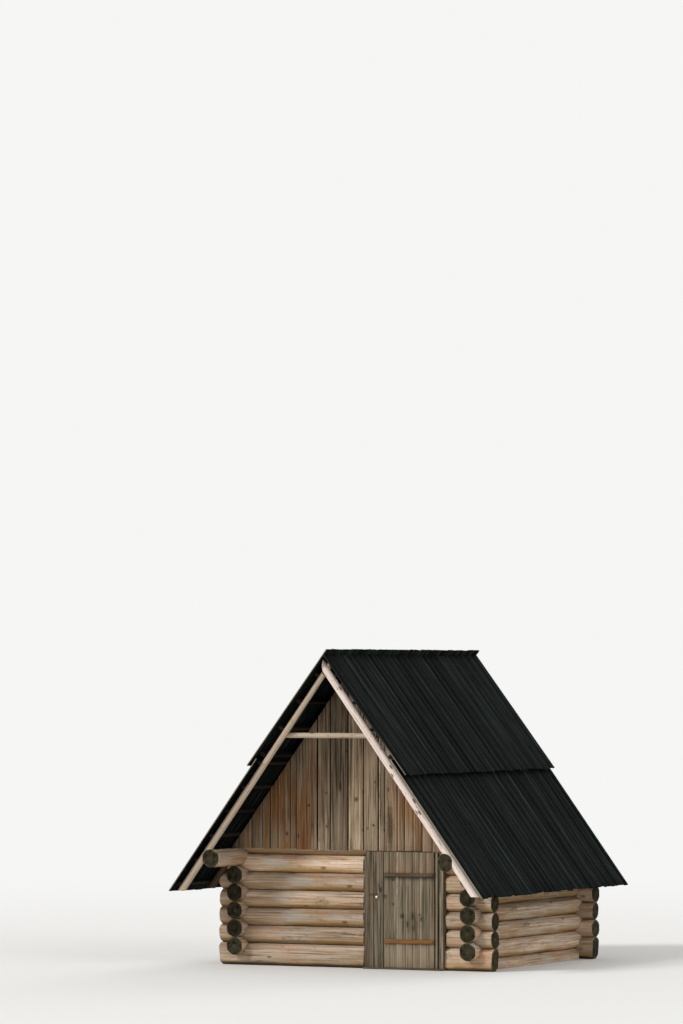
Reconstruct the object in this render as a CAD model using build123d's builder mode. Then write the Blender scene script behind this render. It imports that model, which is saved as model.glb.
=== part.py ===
"""A one-room log cabin with saddle-notched corners, a steep board roof on pole rafters and a plank door.

Millimetres. The front wall faces -Y, +X is to its right and +Z is up. The origin is at ground level,
in the middle of the roof's width and length.
"""
from math import atan2, cos, radians, sin, tan
import os

from build123d import *

os.makedirs("parts", exist_ok=True)

# Walls
wall_span_x = 4200.0          # between the middles of the two side walls
wall_span_y = 4000.0          # between the middles of the front and rear walls
log_diameter = 300.0
log_thickness = 284.0         # across the lightly hewn faces
course_height = 290.0
sill_height = 360.0
sill_diameter = 368.0
course_count = 7              # in the front and rear walls, the sill log and the head log included
side_log_drop = 45.0          # of a side log's middle, below the top of the end-wall log it crosses
front_log_end = 370.0         # of the end walls' logs, from the middle of the crossing
side_log_end = 305.0          # of the side walls' logs
seat = 0.3                    # what a piece keeps off the one that carries it

# Doorway and door, seen from outside
doorway_left = 191.0          # from the cabin's middle to the sawn ends of the logs
doorway_width = 1430.0
jamb_width_left = 120.0
jamb_width_right = 165.0
jamb_depth = 200.0
board_thickness = 25.0
threshold_thickness = 24.0
threshold_nose = 60.0         # how far the threshold stands out of the wall
threshold_inside = 90.0       # how far it runs in past the middle of the wall
side_boards_inset = 44.0      # from the log ends to the first fixed board
side_board_widths = (138.0, 173.0)
side_board_gap = 0.4
leaf_gap = 12.0               # between the fixed boards and the leaf
leaf_thickness = 30.0
leaf_clearance = 6.0          # round the rest of the leaf
hinge_gap = 13.0              # between the leaf and the hinge stile
stile_width = 47.0
stile_gap = 27.0              # between the stile and the cover board
cover_width = 76.0
ledge_thickness = 28.0
ledge_setback = 14.0          # from the leaf's edges to the ledges' ends
upper_ledge_drop = 337.0      # from the leaf's top to the upper ledge
upper_ledge_height = 60.0
lower_ledge_rise = 390.0      # from the leaf's foot to the lower ledge
lower_ledge_height = 65.0

# Door furniture
knuckle_radius = 5.5
knuckle_length = 34.0
pin_radius = 2.8
pin_clearance = 0.3
hinge_plate_thickness = 2.0
hasp_z = 1195.0
hasp_start = 96.0             # from the log ends to the hasp's left end
hasp_length = 160.0
hasp_height = 30.0
hasp_thickness = 3.0
staple_wire = 2.5             # radius
staple_width = 22.0
staple_reach = 24.0
padlock_width = 40.0
padlock_height = 42.0
padlock_depth = 18.0
shackle_wire = 3.0            # radius
shackle_width = 24.0
shackle_rise = 6.0            # of the shackle's straight legs
shackle_root = 3.0            # of each leg, inside the lock's body
ring_radius = 22.0
ring_wire = 3.0
ring_staple_reach = 13.0
ring_inset = 30.0             # from the leaf's free edge to the ring's staple

# Roof frame
roof_pitch = 53.5             # of the rafters, in degrees
rafter_diameter = 120.0
rafter_notch = 44.0           # how far the rafters are let in over the wall plates
rafter_eave = 540.0           # from the middle of a side wall out to the rafters' feet
right_pole_butt = 142.0       # the front pair, thicker at the eaves
right_pole_tip = 128.0
left_pole_butt = 122.0
left_pole_tip = 90.0
plumb_cut = 60.0              # of the rafters' tops, past the middle of the ridge
sawn_off = 240.0              # what the cuts at the ridge and at the eaves take off a pole's length
front_pole_overhang = 1100.0  # from the middle of the front wall to the front poles
rear_pole_overhang = 400.0
plate_end = 32.0              # of the wall plates, past the middle of the end poles
middle_rafter_pairs = 2
collar_drop = 1040.0          # from the crossing of the rafters down to their collar
collar_diameter = 88.0
collar_end = 70.0             # past the middle line of each rafter

# Roof covering
roof_board_overhang = 150.0   # from the end poles to the edges of the roof boards
eave_board_overhang = 118.0   # of the lower course, down the slope past the rafters' feet
roof_board_thickness = 25.0
batten_width = 50.0
batten_thickness = 50.0
batten_setback = 125.0        # of the battens' ends, from the edges of the roof boards
batten_inset = 75.0           # of the outer battens, from the ends of a course
ridge_batten_down = 160.0     # from the crossing of the rafters down to the first batten
ridge_batten_thickness = 90.0
upper_batten_count = 4
lower_batten_count = 6
lower_course_length = 2711.0
course_lap = 230.0            # of the left upper course over the lower one
right_course_lap = 370.0
lap_batten_thickness = 45.0   # between the two courses where they overlap
ridge_comb = 95.0             # how far the left boards stand out past the right slope
gable_over_head = 83.0        # how far the gable boards stop above the underside of the head log

# Heights of the courses
half_course = course_height / 2
half_log = log_thickness / 2
log_size = (log_diameter / 2, course_height - seat, log_thickness)
sill_size = (sill_diameter / 2, sill_height - seat, log_thickness)
course_tops = [sill_height + course_height * i for i in range(course_count)]
head_bottom = course_tops[-2]
side_log_heights = [top - side_log_drop for top in course_tops[:-1]]
plate_z = side_log_heights[-1]
plate_top = plate_z + log_size[1] / 2
gable_base = head_bottom + gable_over_head

# The rafters' middle line, seen along the ridge
slope_cos = cos(radians(roof_pitch))
slope_sin = sin(radians(roof_pitch))
slope_tan = tan(radians(roof_pitch))
side_wall_x = wall_span_x / 2
rafter_radius = rafter_diameter / 2
collar_radius = collar_diameter / 2
rafter_apex = plate_top - rafter_notch + rafter_radius / slope_cos + side_wall_x * slope_tan
rafter_length = (side_wall_x + rafter_eave) / slope_cos
rafter_foot = rafter_apex - rafter_length * slope_sin
collar_height = rafter_apex - collar_drop

# Places along the ridge
roof_length = front_pole_overhang + wall_span_y + rear_pole_overhang + 2 * roof_board_overhang
front_pole_y = roof_board_overhang - roof_length / 2
rear_pole_y = roof_length / 2 - roof_board_overhang
front_wall_y = front_pole_y + front_pole_overhang
rear_wall_y = rear_pole_y - rear_pole_overhang
front_face_y = front_wall_y - half_log

# Layers of the roof, down the slope and square off it: the upper course tips out over the lower one
batten_under = rafter_radius + seat
lower_under = batten_under + batten_thickness + seat
lower_course_end = rafter_length + eave_board_overhang
lower_course_start = lower_course_end - lower_course_length
lap_batten_down = lower_course_start + course_lap / 2
lap_under = lower_under + roof_board_thickness + seat
ridge_batten_over = batten_under + ridge_batten_thickness
tip_angle = atan2(lap_under + lap_batten_thickness - ridge_batten_over,
                  lap_batten_down - ridge_batten_down)
upper_pitch = radians(roof_pitch) - tip_angle


def course_middle(i):
    """Height of the middle of log i of the front and rear walls, with the sill log as 0."""
    return sill_height / 2 if i == 0 else course_tops[i] - half_course


def course_size(i):
    """Section of log i of the front and rear walls."""
    return sill_size if i == 0 else log_size


def log_section(size, growth=0.0):
    """Draws a log's section: round, with a flat bed above and below and lightly hewn faces."""
    radius, height, thickness = size
    Circle(radius + growth)
    Rectangle(thickness + 2 * growth, height + 2 * growth, mode=Mode.INTERSECT)


def log_along_x(x_from, x_to, y, z, size):
    """Adds a log of the front or rear wall."""
    with BuildSketch(Plane(origin=(x_from, y, z), x_dir=(0, 1, 0), z_dir=(1, 0, 0))) as section:
        log_section(size)
    extrude(section.sketch, amount=x_to - x_from)


def log_along_y(x, y_from, y_to, z, size):
    """Adds a log of a side wall."""
    with BuildSketch(Plane(origin=(x, y_from, z), x_dir=(-1, 0, 0), z_dir=(0, 1, 0))) as section:
        log_section(size)
    extrude(section.sketch, amount=y_to - y_from)


def saddle(plane, size, waist):
    """Cuts the saddle that a log needs to sit over the crossing log below it.

    The plane stands across the crossing log, at its middle. The upper log's underside lies at the
    height waist on that plane, and the crossing log's section is hollowed out of it from there up.
    """
    radius, height, thickness = size
    with BuildSketch(plane) as hollow:
        log_section(size, growth=seat)
        with Locations((0, waist + height)):
            Rectangle(4 * radius, 2 * height, mode=Mode.INTERSECT)
    extrude(hollow.sketch, amount=log_diameter, both=True, mode=Mode.SUBTRACT)


def slope_plane(side, y):
    """Plane across a roof slope: x runs down the rafters from the apex, y stands square off them."""
    return Plane(origin=(0, y, rafter_apex), x_dir=(side * slope_cos, 0, -slope_sin),
                 z_dir=(0, -side, 0))


def slope_point(side, down, off, y):
    """Point down a roof slope from the apex of the rafters, and off it along its outward normal."""
    return Vector(side * (down * slope_cos + off * slope_sin), y,
                  rafter_apex - down * slope_sin + off * slope_cos)


def upper_plane(side, y):
    """Plane across the upper course: x runs down its underside from the ridge batten."""
    origin = slope_point(side, ridge_batten_down, ridge_batten_over + seat, y)
    return Plane(origin=origin, x_dir=(side * cos(upper_pitch), 0, -sin(upper_pitch)),
                 z_dir=(0, -side, 0))


ridge_run = upper_plane(1, 0).origin.X / cos(upper_pitch)


def end_wall_rows(x_from, x_to, y, rows, sides):
    """Adds rows of logs of an end wall, saddled at the given corners and trimmed under the rafters."""
    for i in rows:
        log_along_x(x_from, x_to, y, course_middle(i), course_size(i))
    for i in rows:
        if i > 0:
            for side in sides:
                across = Plane(origin=(side * side_wall_x, y, side_log_heights[i - 1]),
                               x_dir=(-1, 0, 0), z_dir=(0, 1, 0))
                saddle(across, log_size, side_log_drop)
    for side in sides:
        with BuildSketch(slope_plane(side, y)) as above:
            with Locations((rafter_length / 2, log_diameter - rafter_radius - seat)):
                Rectangle(rafter_length, 2 * log_diameter)
        extrude(above.sketch, amount=log_diameter, both=True, mode=Mode.SUBTRACT)


def saddles_over_end_walls(x, log_z, row):
    """Notches a side-wall log at height log_z over the logs of the given end-wall row."""
    for y in (front_wall_y, rear_wall_y):
        across = Plane(origin=(x, y, course_middle(row)), x_dir=(0, 1, 0), z_dir=(1, 0, 0))
        saddle(across, course_size(row), log_z - half_course - course_middle(row))


def side_wall(side):
    """Adds the logs of a side wall below its plate, and the part log that fills its foot."""
    x = side * side_wall_x
    foot_z = side_log_heights[0] - course_height
    for z in side_log_heights[:-1]:
        log_along_y(x, front_wall_y - side_log_end, rear_wall_y + side_log_end, z, log_size)
    for row, z in enumerate(side_log_heights[:-1]):
        saddles_over_end_walls(x, z, row)
    log_along_y(x, front_wall_y + half_log + seat, rear_wall_y - half_log - seat, foot_z, log_size)
    with BuildSketch(Plane.XY) as ground:
        with Locations((x, (front_wall_y + rear_wall_y) / 2)):
            Rectangle(log_diameter, wall_span_y)
    extrude(ground.sketch, amount=-log_diameter, mode=Mode.SUBTRACT)


def wall_plate(side):
    """Adds the top log of a side wall, which runs out to the end poles at the front and rear."""
    x = side * side_wall_x
    log_along_y(x, front_pole_y - plate_end, rear_pole_y + plate_end, plate_z, log_size)
    saddles_over_end_walls(x, plate_z, course_count - 2)


# End walls
doorway_right = doorway_left + doorway_width
wall_end = side_wall_x + front_log_end
lower_rows = range(course_count - 1)
head_row = (course_count - 1,)

with BuildPart() as front_logs_left:
    end_wall_rows(-wall_end, doorway_left, front_wall_y, lower_rows, (-1,))

with BuildPart() as front_logs_right:
    end_wall_rows(doorway_right, wall_end, front_wall_y, lower_rows, (1,))

with BuildPart() as rear_wall_logs:
    end_wall_rows(-wall_end, wall_end, rear_wall_y, lower_rows, (-1, 1))

with BuildPart() as front_head_log:
    end_wall_rows(-side_wall_x, side_wall_x, front_wall_y, head_row, (-1, 1))

with BuildPart() as rear_head_log:
    end_wall_rows(-side_wall_x, side_wall_x, rear_wall_y, head_row, (-1, 1))

# Side walls and the plates that carry the roof
with BuildPart() as left_wall_logs:
    side_wall(-1)

with BuildPart() as right_wall_logs:
    side_wall(1)

with BuildPart() as left_wall_plate:
    wall_plate(-1)

with BuildPart() as right_wall_plate:
    wall_plate(1)


def standing_board(x_from, x_to, y_front, depth, z_from, z_to):
    """Adds an upright board or post with its outer face at y_front."""
    with BuildSketch(Plane.XY.offset(z_from)) as outline:
        with Locations(((x_from + x_to) / 2, y_front + depth / 2)):
            Rectangle(x_to - x_from, depth)
    extrude(outline.sketch, amount=z_to - z_from)


# Frame of the doorway
jamb_bottom = threshold_thickness + seat
jamb_top = head_bottom - seat

with BuildPart() as threshold:
    standing_board(doorway_left + seat, doorway_right - seat, front_face_y - threshold_nose,
                   threshold_nose + half_log + threshold_inside, 0, threshold_thickness)

with BuildPart() as left_jamb:
    standing_board(doorway_left + seat, doorway_left + jamb_width_left, front_face_y, jamb_depth,
                   jamb_bottom, jamb_top)

with BuildPart() as right_jamb:
    standing_board(doorway_right - jamb_width_right, doorway_right - seat, front_face_y, jamb_depth,
                   jamb_bottom, jamb_top)

# Fixed boards on both sides of the door leaf
boards_top = gable_base - leaf_clearance
boards_front_y = front_face_y - board_thickness
side_boards_x = doorway_left + side_boards_inset
stile_right = doorway_right - cover_width - stile_gap
stile_left = stile_right - stile_width

with BuildPart() as door_side_boards:
    board_x = side_boards_x
    for width in side_board_widths:
        standing_board(board_x, board_x + width, boards_front_y, board_thickness, jamb_bottom, boards_top)
        board_x += width + side_board_gap

with BuildPart() as hinge_stile:
    standing_board(stile_left, stile_right, boards_front_y, board_thickness, jamb_bottom, boards_top)

with BuildPart() as jamb_cover_board:
    standing_board(doorway_right - cover_width, doorway_right - seat, boards_front_y, board_thickness,
                   jamb_bottom, boards_top)

# Door leaf and its ledges
leaf_left = side_boards_x + sum(side_board_widths) + side_board_gap + leaf_gap
leaf_right = stile_left - hinge_gap
leaf_front_y = front_face_y - leaf_clearance - leaf_thickness
leaf_bottom = threshold_thickness + leaf_clearance
upper_ledge_z = boards_top - upper_ledge_drop - upper_ledge_height
lower_ledge_z = leaf_bottom + lower_ledge_rise

with BuildPart() as door_leaf:
    standing_board(leaf_left, leaf_right, leaf_front_y, leaf_thickness, leaf_bottom, boards_top)


def ledge(z_from, height):
    """Adds a ledge across the outside of the leaf."""
    standing_board(leaf_left + ledge_setback, leaf_right - ledge_setback, leaf_front_y - ledge_thickness,
                   ledge_thickness, z_from, z_from + height)


with BuildPart() as upper_door_ledge:
    ledge(upper_ledge_z, upper_ledge_height)

with BuildPart() as lower_door_ledge:
    ledge(lower_ledge_z, lower_ledge_height)

# Hinges, level with the ledges, with their knuckles in the gap between leaf and stile
hinge_x = leaf_right + hinge_gap / 2
hinge_y = leaf_front_y - pin_radius
hinge_heights = (lower_ledge_z + lower_ledge_height / 2, upper_ledge_z + upper_ledge_height / 2)


def knuckle(z, radius=knuckle_radius, length=knuckle_length, mode=Mode.ADD):
    """Adds or cuts a hinge knuckle or pin that stands on height z."""
    with BuildSketch(Plane.XY.offset(z)) as outline:
        with Locations((hinge_x, hinge_y)):
            Circle(radius)
    extrude(outline.sketch, amount=length, mode=mode)


with BuildPart() as door_hinges:
    for middle in hinge_heights:
        low = middle - knuckle_length / 2
        knuckle(low)
        standing_board(leaf_right, hinge_x - knuckle_radius + hinge_plate_thickness, hinge_y, leaf_thickness,
                       low, low + knuckle_length)
        knuckle(low, radius=pin_radius + pin_clearance, mode=Mode.SUBTRACT)

with BuildPart() as frame_hinges:
    for middle in hinge_heights:
        for low in (middle - 1.5 * knuckle_length - 2 * seat, middle + knuckle_length / 2 + 2 * seat):
            knuckle(low)
            standing_board(hinge_x + knuckle_radius - hinge_plate_thickness, stile_left, hinge_y,
                           leaf_thickness, low, low + knuckle_length)
        knuckle(middle - knuckle_length, radius=pin_radius, length=2 * knuckle_length)

# Hasp and padlock on the fixed boards, and the ring on the leaf
hasp_left = doorway_left + hasp_start
hasp_right = hasp_left + hasp_length
staple_x = hasp_right - staple_width / 2
staple_seat = hasp_z - staple_width / 2 + staple_wire + seat


def wire_loop(path_plane, width, reach, wire):
    """Adds a forged staple: two legs and a half-round end, standing off the plane's origin."""
    half = width / 2
    with BuildLine(path_plane) as route:
        leg = Line((-half, 0), (-half, reach - half))
        bend = ThreePointArc(leg @ 1, (0, reach), (half, reach - half))
        Line(bend @ 1, (half, 0))
    with BuildSketch(Plane(origin=route.line @ 0, z_dir=route.line % 0)) as section:
        RegularPolygon(wire, 6)
    sweep(section.sketch, path=route.line)


with BuildPart() as hasp:
    standing_board(hasp_left, hasp_right, boards_front_y - hasp_thickness, hasp_thickness,
                   hasp_z - hasp_height / 2, hasp_z + hasp_height / 2)
    wire_loop(Plane(origin=(staple_x, boards_front_y - hasp_thickness / 2, hasp_z),
                    x_dir=(0, 0, 1), z_dir=(1, 0, 0)),
              staple_width, staple_reach, staple_wire)

with BuildPart() as padlock:
    shackle_y = boards_front_y - hasp_thickness - staple_reach / 2
    shackle_reach = shackle_rise + shackle_width / 2
    body_top = staple_seat + shackle_wire - shackle_reach
    with BuildSketch(Plane.XY.offset(body_top)):
        with Locations((staple_x, shackle_y)):
            RectangleRounded(padlock_width, padlock_depth, padlock_depth / 4)
    extrude(amount=-padlock_height)
    wire_loop(Plane(origin=(staple_x, shackle_y, body_top - shackle_root), x_dir=(1, 0, 0),
                    z_dir=(0, -1, 0)),
              shackle_width, shackle_reach + shackle_root, shackle_wire)

with BuildPart() as door_ring:
    ring_x = leaf_left + ring_inset
    ring_z = staple_seat + ring_wire - ring_radius
    with BuildSketch(Plane(origin=(ring_x, leaf_front_y - seat, ring_z), x_dir=(0, 0, 1),
                           z_dir=(0, -1, 0))):
        RegularPolygon(ring_radius + ring_wire, 16)
        RegularPolygon(ring_radius - ring_wire, 16, mode=Mode.SUBTRACT)
    extrude(amount=2 * ring_wire)
    wire_loop(Plane(origin=(ring_x, leaf_front_y, hasp_z), x_dir=(0, 0, 1), z_dir=(1, 0, 0)),
              staple_width, ring_staple_reach, staple_wire)


def pole(start, end, start_radius, end_radius):
    """Adds a peeled pole with shaved flats along it, from start to end."""
    flats = 12
    sections = []
    for point, radius in ((start, start_radius), (end, end_radius)):
        with BuildSketch(Plane(origin=point, x_dir=(0, 1, 0), z_dir=end - start)) as section:
            RegularPolygon(radius, flats, major_radius=False, rotation=180 / flats)
        sections.append(section.sketch)
    loft(sections, ruled=True)


def rafter(side, y, tip_radius, butt_radius):
    """Adds one rafter before its cuts, with its upper line along the battens' undersides."""
    tip = slope_point(side, -sawn_off, rafter_radius - tip_radius, y)
    butt = slope_point(side, rafter_length + sawn_off, rafter_radius - butt_radius, y)
    pole(tip, butt, tip_radius, butt_radius)


def rafter_cuts(side, y, partner_radius):
    """Cuts one rafter at the ridge, over the wall plate and at its foot.

    At the ridge it is halved against its partner, sawn plumb past the middle and bevelled under the
    boards of the other slope. The right rafter keeps the front half of the lap, the left one the rear.
    """
    reach = 2 * sawn_off
    with BuildSketch(slope_plane(-side, y - side * seat / 2)) as lap:
        Rectangle(2 * reach, 2 * (partner_radius + seat) + rafter_radius / 2)
    extrude(lap.sketch, amount=rafter_diameter, mode=Mode.SUBTRACT)
    with BuildSketch(Plane.XZ.offset(-y)) as sawn:
        with Locations((-side * (plumb_cut + reach / 2), rafter_apex)):
            Rectangle(reach, 2 * reach)
        with Locations((side * (side_wall_x + rafter_eave), rafter_foot - reach / 2)):
            Rectangle(2 * reach, reach)
    extrude(sawn.sketch, amount=rafter_diameter, both=True, mode=Mode.SUBTRACT)
    with BuildSketch(upper_plane(-side, y)) as bevel:
        with Locations((-ridge_run, reach / 2 - seat)):
            Rectangle(reach, reach)
    extrude(bevel.sketch, amount=rafter_diameter, both=True, mode=Mode.SUBTRACT)
    across = Plane(origin=(side * side_wall_x, y, plate_z), x_dir=(-1, 0, 0), z_dir=(0, 1, 0))
    with BuildSketch(across) as plate:
        log_section(log_size, growth=seat)
    extrude(plate.sketch, amount=rafter_diameter, both=True, mode=Mode.SUBTRACT)


def radius_at_collar(tip_radius, butt_radius):
    """Radius of a rafter where its collar crosses it."""
    share = (collar_drop / slope_sin + sawn_off) / (rafter_length + 2 * sawn_off)
    return tip_radius + (butt_radius - tip_radius) * share


def collar(y, left_reach, right_reach, side=1):
    """Adds a collar against a pair of rafters, behind them or, with side -1, before them."""
    crossing = collar_drop / slope_tan
    off = collar_radius + 2 * seat
    left = Vector(-crossing, y + side * (left_reach + off), collar_height)
    right = Vector(crossing, y + side * (right_reach + off), collar_height)
    across = Plane(origin=left, x_dir=(0, 0, 1), z_dir=right - left).offset(-collar_end)
    with BuildSketch(across) as section:
        RegularPolygon(collar_radius, 12, major_radius=False, rotation=15)
    extrude(section.sketch, amount=(right - left).length + 2 * collar_end)


# The front pair of poles and its collar
right_radii = (right_pole_tip / 2, right_pole_butt / 2)
left_radii = (left_pole_tip / 2, left_pole_butt / 2)

with BuildPart() as front_left_pole:
    rafter(-1, front_pole_y, *left_radii)
    rafter_cuts(-1, front_pole_y, right_radii[0])

with BuildPart() as front_right_pole:
    rafter(1, front_pole_y, *right_radii)
    rafter_cuts(1, front_pole_y, left_radii[0])

with BuildPart() as front_collar:
    collar(front_pole_y, radius_at_collar(*left_radii), radius_at_collar(*right_radii))

# Rafters from the front gable to the rear end pole
first_rafter_y = front_face_y + rafter_radius + seat
last_rafter_y = rear_wall_y + half_log - rafter_radius - seat
rafter_step = (last_rafter_y - first_rafter_y) / (middle_rafter_pairs + 1)
rafter_rows = [first_rafter_y + rafter_step * i for i in range(middle_rafter_pairs + 2)]
rafter_rows.append(rear_pole_y)


def rafter_set(side):
    """Adds the rafters of one slope behind the front poles."""
    for y in rafter_rows:
        rafter(side, y, rafter_radius, rafter_radius)
    for y in rafter_rows:
        rafter_cuts(side, y, rafter_radius)


with BuildPart() as left_rafters:
    rafter_set(-1)

with BuildPart() as right_rafters:
    rafter_set(1)

with BuildPart() as rafter_collars:
    for y in rafter_rows[:-2]:
        collar(y, rafter_radius, rafter_radius)
    for y in rafter_rows[-2:]:
        collar(y, rafter_radius, rafter_radius, side=-1)


def gable_boards(y_inner, outward):
    """Adds a gable that hangs outside the head log, stepped over the plates and cut to the rafters."""
    rise = rafter_apex + rafter_radius / slope_cos
    plate_inner = side_wall_x - half_log - seat
    step_z = plate_top + seat
    step_x = (rise - step_z) / slope_tan
    with BuildSketch(Plane(origin=(0, y_inner, 0), x_dir=(1, 0, 0), z_dir=(0, -1, 0))) as outline:
        with BuildLine():
            Polyline((-plate_inner, gable_base), (plate_inner, gable_base), (plate_inner, step_z),
                     (step_x, step_z), (0, rise), (-step_x, step_z), (-plate_inner, step_z), close=True)
        make_face()
    extrude(outline.sketch, amount=board_thickness * outward)


with BuildPart() as front_gable_boards:
    gable_boards(front_face_y, 1)

with BuildPart() as rear_gable_boards:
    gable_boards(rear_wall_y + half_log, -1)


def slope_slab(plane, down_from, down_to, off_from, off_to, half_length):
    """Adds a flat piece that lies along a roof slope, as far to the front as to the rear."""
    with BuildSketch(plane) as outline:
        with Locations(((down_from + down_to) / 2, (off_from + off_to) / 2)):
            Rectangle(down_to - down_from, off_to - off_from)
    extrude(outline.sketch, amount=half_length, both=True)


def batten(side, down, off_from, off_to):
    """Adds a batten the length of the roof, its middle that far down the slope."""
    slope_slab(slope_plane(side, 0), down - batten_width / 2, down + batten_width / 2, off_from, off_to,
               roof_length / 2 - batten_setback)


def battens(side):
    """Adds the battens of one slope: plain, packed up under the upper course, and one in the lap."""
    last_upper = lower_course_start - batten_inset
    for i in range(upper_batten_count):
        down = ridge_batten_down + (last_upper - ridge_batten_down) * i / (upper_batten_count - 1)
        rise = (down - batten_width / 2 - ridge_batten_down) * tan(tip_angle)
        batten(side, down, batten_under, ridge_batten_over + rise)
    first_lower = lower_course_start + batten_inset
    last_lower = rafter_length - batten_inset
    for i in range(lower_batten_count):
        down = first_lower + (last_lower - first_lower) * i / (lower_batten_count - 1)
        batten(side, down, batten_under, batten_under + batten_thickness)
    batten(side, lap_batten_down, lap_under,
           lap_under + lap_batten_thickness - batten_width / 2 * tan(tip_angle))


with BuildPart() as left_battens:
    battens(-1)

with BuildPart() as right_battens:
    battens(1)

# The two overlapping courses of boards on each slope
with BuildPart() as left_lower_roof_boards:
    slope_slab(slope_plane(-1, 0), lower_course_start, lower_course_end,
               lower_under, lower_under + roof_board_thickness, roof_length / 2)

with BuildPart() as right_lower_roof_boards:
    slope_slab(slope_plane(1, 0), lower_course_start, lower_course_end,
               lower_under, lower_under + roof_board_thickness, roof_length / 2)

# At the ridge the right course stops under the left one, which stands out past it
right_ridge_edge = seat / sin(2 * upper_pitch) - ridge_run
left_ridge_edge = -ridge_run - roof_board_thickness / sin(2 * upper_pitch) - ridge_comb
left_upper_edge, right_upper_edge = [(lower_course_start + lap - ridge_batten_down) / cos(tip_angle)
                                     for lap in (course_lap, right_course_lap)]

with BuildPart() as left_upper_roof_boards:
    slope_slab(upper_plane(-1, 0), left_ridge_edge, left_upper_edge, 0, roof_board_thickness,
               roof_length / 2)

with BuildPart() as right_upper_roof_boards:
    slope_slab(upper_plane(1, 0), right_ridge_edge, right_upper_edge, 0, roof_board_thickness,
               roof_length / 2)

# Each piece is written under its own name
pieces = {
    "front_logs_left": front_logs_left,
    "front_logs_right": front_logs_right,
    "front_head_log": front_head_log,
    "rear_wall_logs": rear_wall_logs,
    "rear_head_log": rear_head_log,
    "left_wall_logs": left_wall_logs,
    "right_wall_logs": right_wall_logs,
    "left_wall_plate": left_wall_plate,
    "right_wall_plate": right_wall_plate,
    "threshold": threshold,
    "left_jamb": left_jamb,
    "right_jamb": right_jamb,
    "door_side_boards": door_side_boards,
    "hinge_stile": hinge_stile,
    "jamb_cover_board": jamb_cover_board,
    "door_leaf": door_leaf,
    "upper_door_ledge": upper_door_ledge,
    "lower_door_ledge": lower_door_ledge,
    "door_hinges": door_hinges,
    "frame_hinges": frame_hinges,
    "hasp": hasp,
    "padlock": padlock,
    "door_ring": door_ring,
    "front_left_pole": front_left_pole,
    "front_right_pole": front_right_pole,
    "front_collar": front_collar,
    "left_rafters": left_rafters,
    "right_rafters": right_rafters,
    "rafter_collars": rafter_collars,
    "front_gable_boards": front_gable_boards,
    "rear_gable_boards": rear_gable_boards,
    "left_battens": left_battens,
    "right_battens": right_battens,
    "left_upper_roof_boards": left_upper_roof_boards,
    "right_upper_roof_boards": right_upper_roof_boards,
    "left_lower_roof_boards": left_lower_roof_boards,
    "right_lower_roof_boards": right_lower_roof_boards,
}

for name, piece in pieces.items():
    piece.part.label = name
    export_step(piece.part, f"parts/{name}.step")
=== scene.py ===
"""Looks of a small log cabin: hewn logs, peeled poles, weathered boards, a plank door and its ironwork.

Everything is in metres. The front wall faces -Y, +X is to its right and +Z is up.
"""
import math
import random
from functools import partial

import bmesh
import bpy
from bpy.props import FloatProperty, FloatVectorProperty, PointerProperty
from mathutils import Matrix, Vector, noise
from mathutils.bvhtree import BVHTree


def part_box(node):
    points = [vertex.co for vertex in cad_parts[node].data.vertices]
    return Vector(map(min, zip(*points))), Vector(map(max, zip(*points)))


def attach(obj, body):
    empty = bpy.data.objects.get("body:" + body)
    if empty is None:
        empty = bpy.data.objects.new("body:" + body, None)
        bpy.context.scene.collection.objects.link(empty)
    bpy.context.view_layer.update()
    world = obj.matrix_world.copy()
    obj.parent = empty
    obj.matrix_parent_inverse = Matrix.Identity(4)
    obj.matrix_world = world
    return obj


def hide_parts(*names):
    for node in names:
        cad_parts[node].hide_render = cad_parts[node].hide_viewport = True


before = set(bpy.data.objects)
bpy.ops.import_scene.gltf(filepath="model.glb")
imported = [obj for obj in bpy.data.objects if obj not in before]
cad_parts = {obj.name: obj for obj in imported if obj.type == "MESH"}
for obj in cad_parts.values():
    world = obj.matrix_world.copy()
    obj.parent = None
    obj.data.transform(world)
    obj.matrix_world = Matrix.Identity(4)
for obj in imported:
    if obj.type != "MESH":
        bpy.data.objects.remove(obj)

bl_info = {
    "name": "Log Cabin",
    "version": (1, 0, 0),
    "blender": (4, 5, 0),
    "location": "View3D > Sidebar > Cabin",
    "description": "Weathered timber, boards and ironwork of a small log cabin",
    "category": "Object",
}

ALONG_X = Vector((1, 0, 0))
ALONG_Y = Vector((0, 1, 0))
UPWARD = Vector((0, 0, 1))
FRONT = -ALONG_Y
# Points nearer than this are one, and faces that meet at less than this are one
WELD = 0.00001
FLATNESS = math.radians(0.3)
# How near its end a solid's faces and points belong to that end
END_FACES = 0.002
END_POINTS = 0.0005
# From this share of its radius on, a point is on a log's or a pole's surface
SURFACE = 0.985
# Half the width of a drying check, as an angle round the log
CHECK_TURN = 0.022
# Height of a nail head, and how far its middle stands off the wood
NAIL_HEIGHT = 0.0022
NAIL_MIDDLE = 0.0006
BODY_HOUSE = "cabin"
BODY_DOOR = "door"


def shade(red, green, blue):
    """Linear colour of a shade given as on a screen, from 0 to 255."""
    return tuple(((c / 255 + 0.055) / 1.055) ** 2.4 for c in (red, green, blue))


def dim(tint, share):
    """A colour made darker, or paler with a share over 1."""
    return [c * share for c in tint]


def colour(name, description, red, green, blue):
    """A colour property with that default shade."""
    return FloatVectorProperty(name=name, description=description, subtype="COLOR", size=3, min=0, max=1,
                               default=shade(red, green, blue))


def length(name, description, default):
    """A length property in metres."""
    return FloatProperty(name=name, description=description, default=default, unit="LENGTH", precision=4)


def angle(name, description, degrees):
    """An angle property with a default in degrees."""
    return FloatProperty(name=name, description=description, default=math.radians(degrees), subtype="ANGLE")


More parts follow.
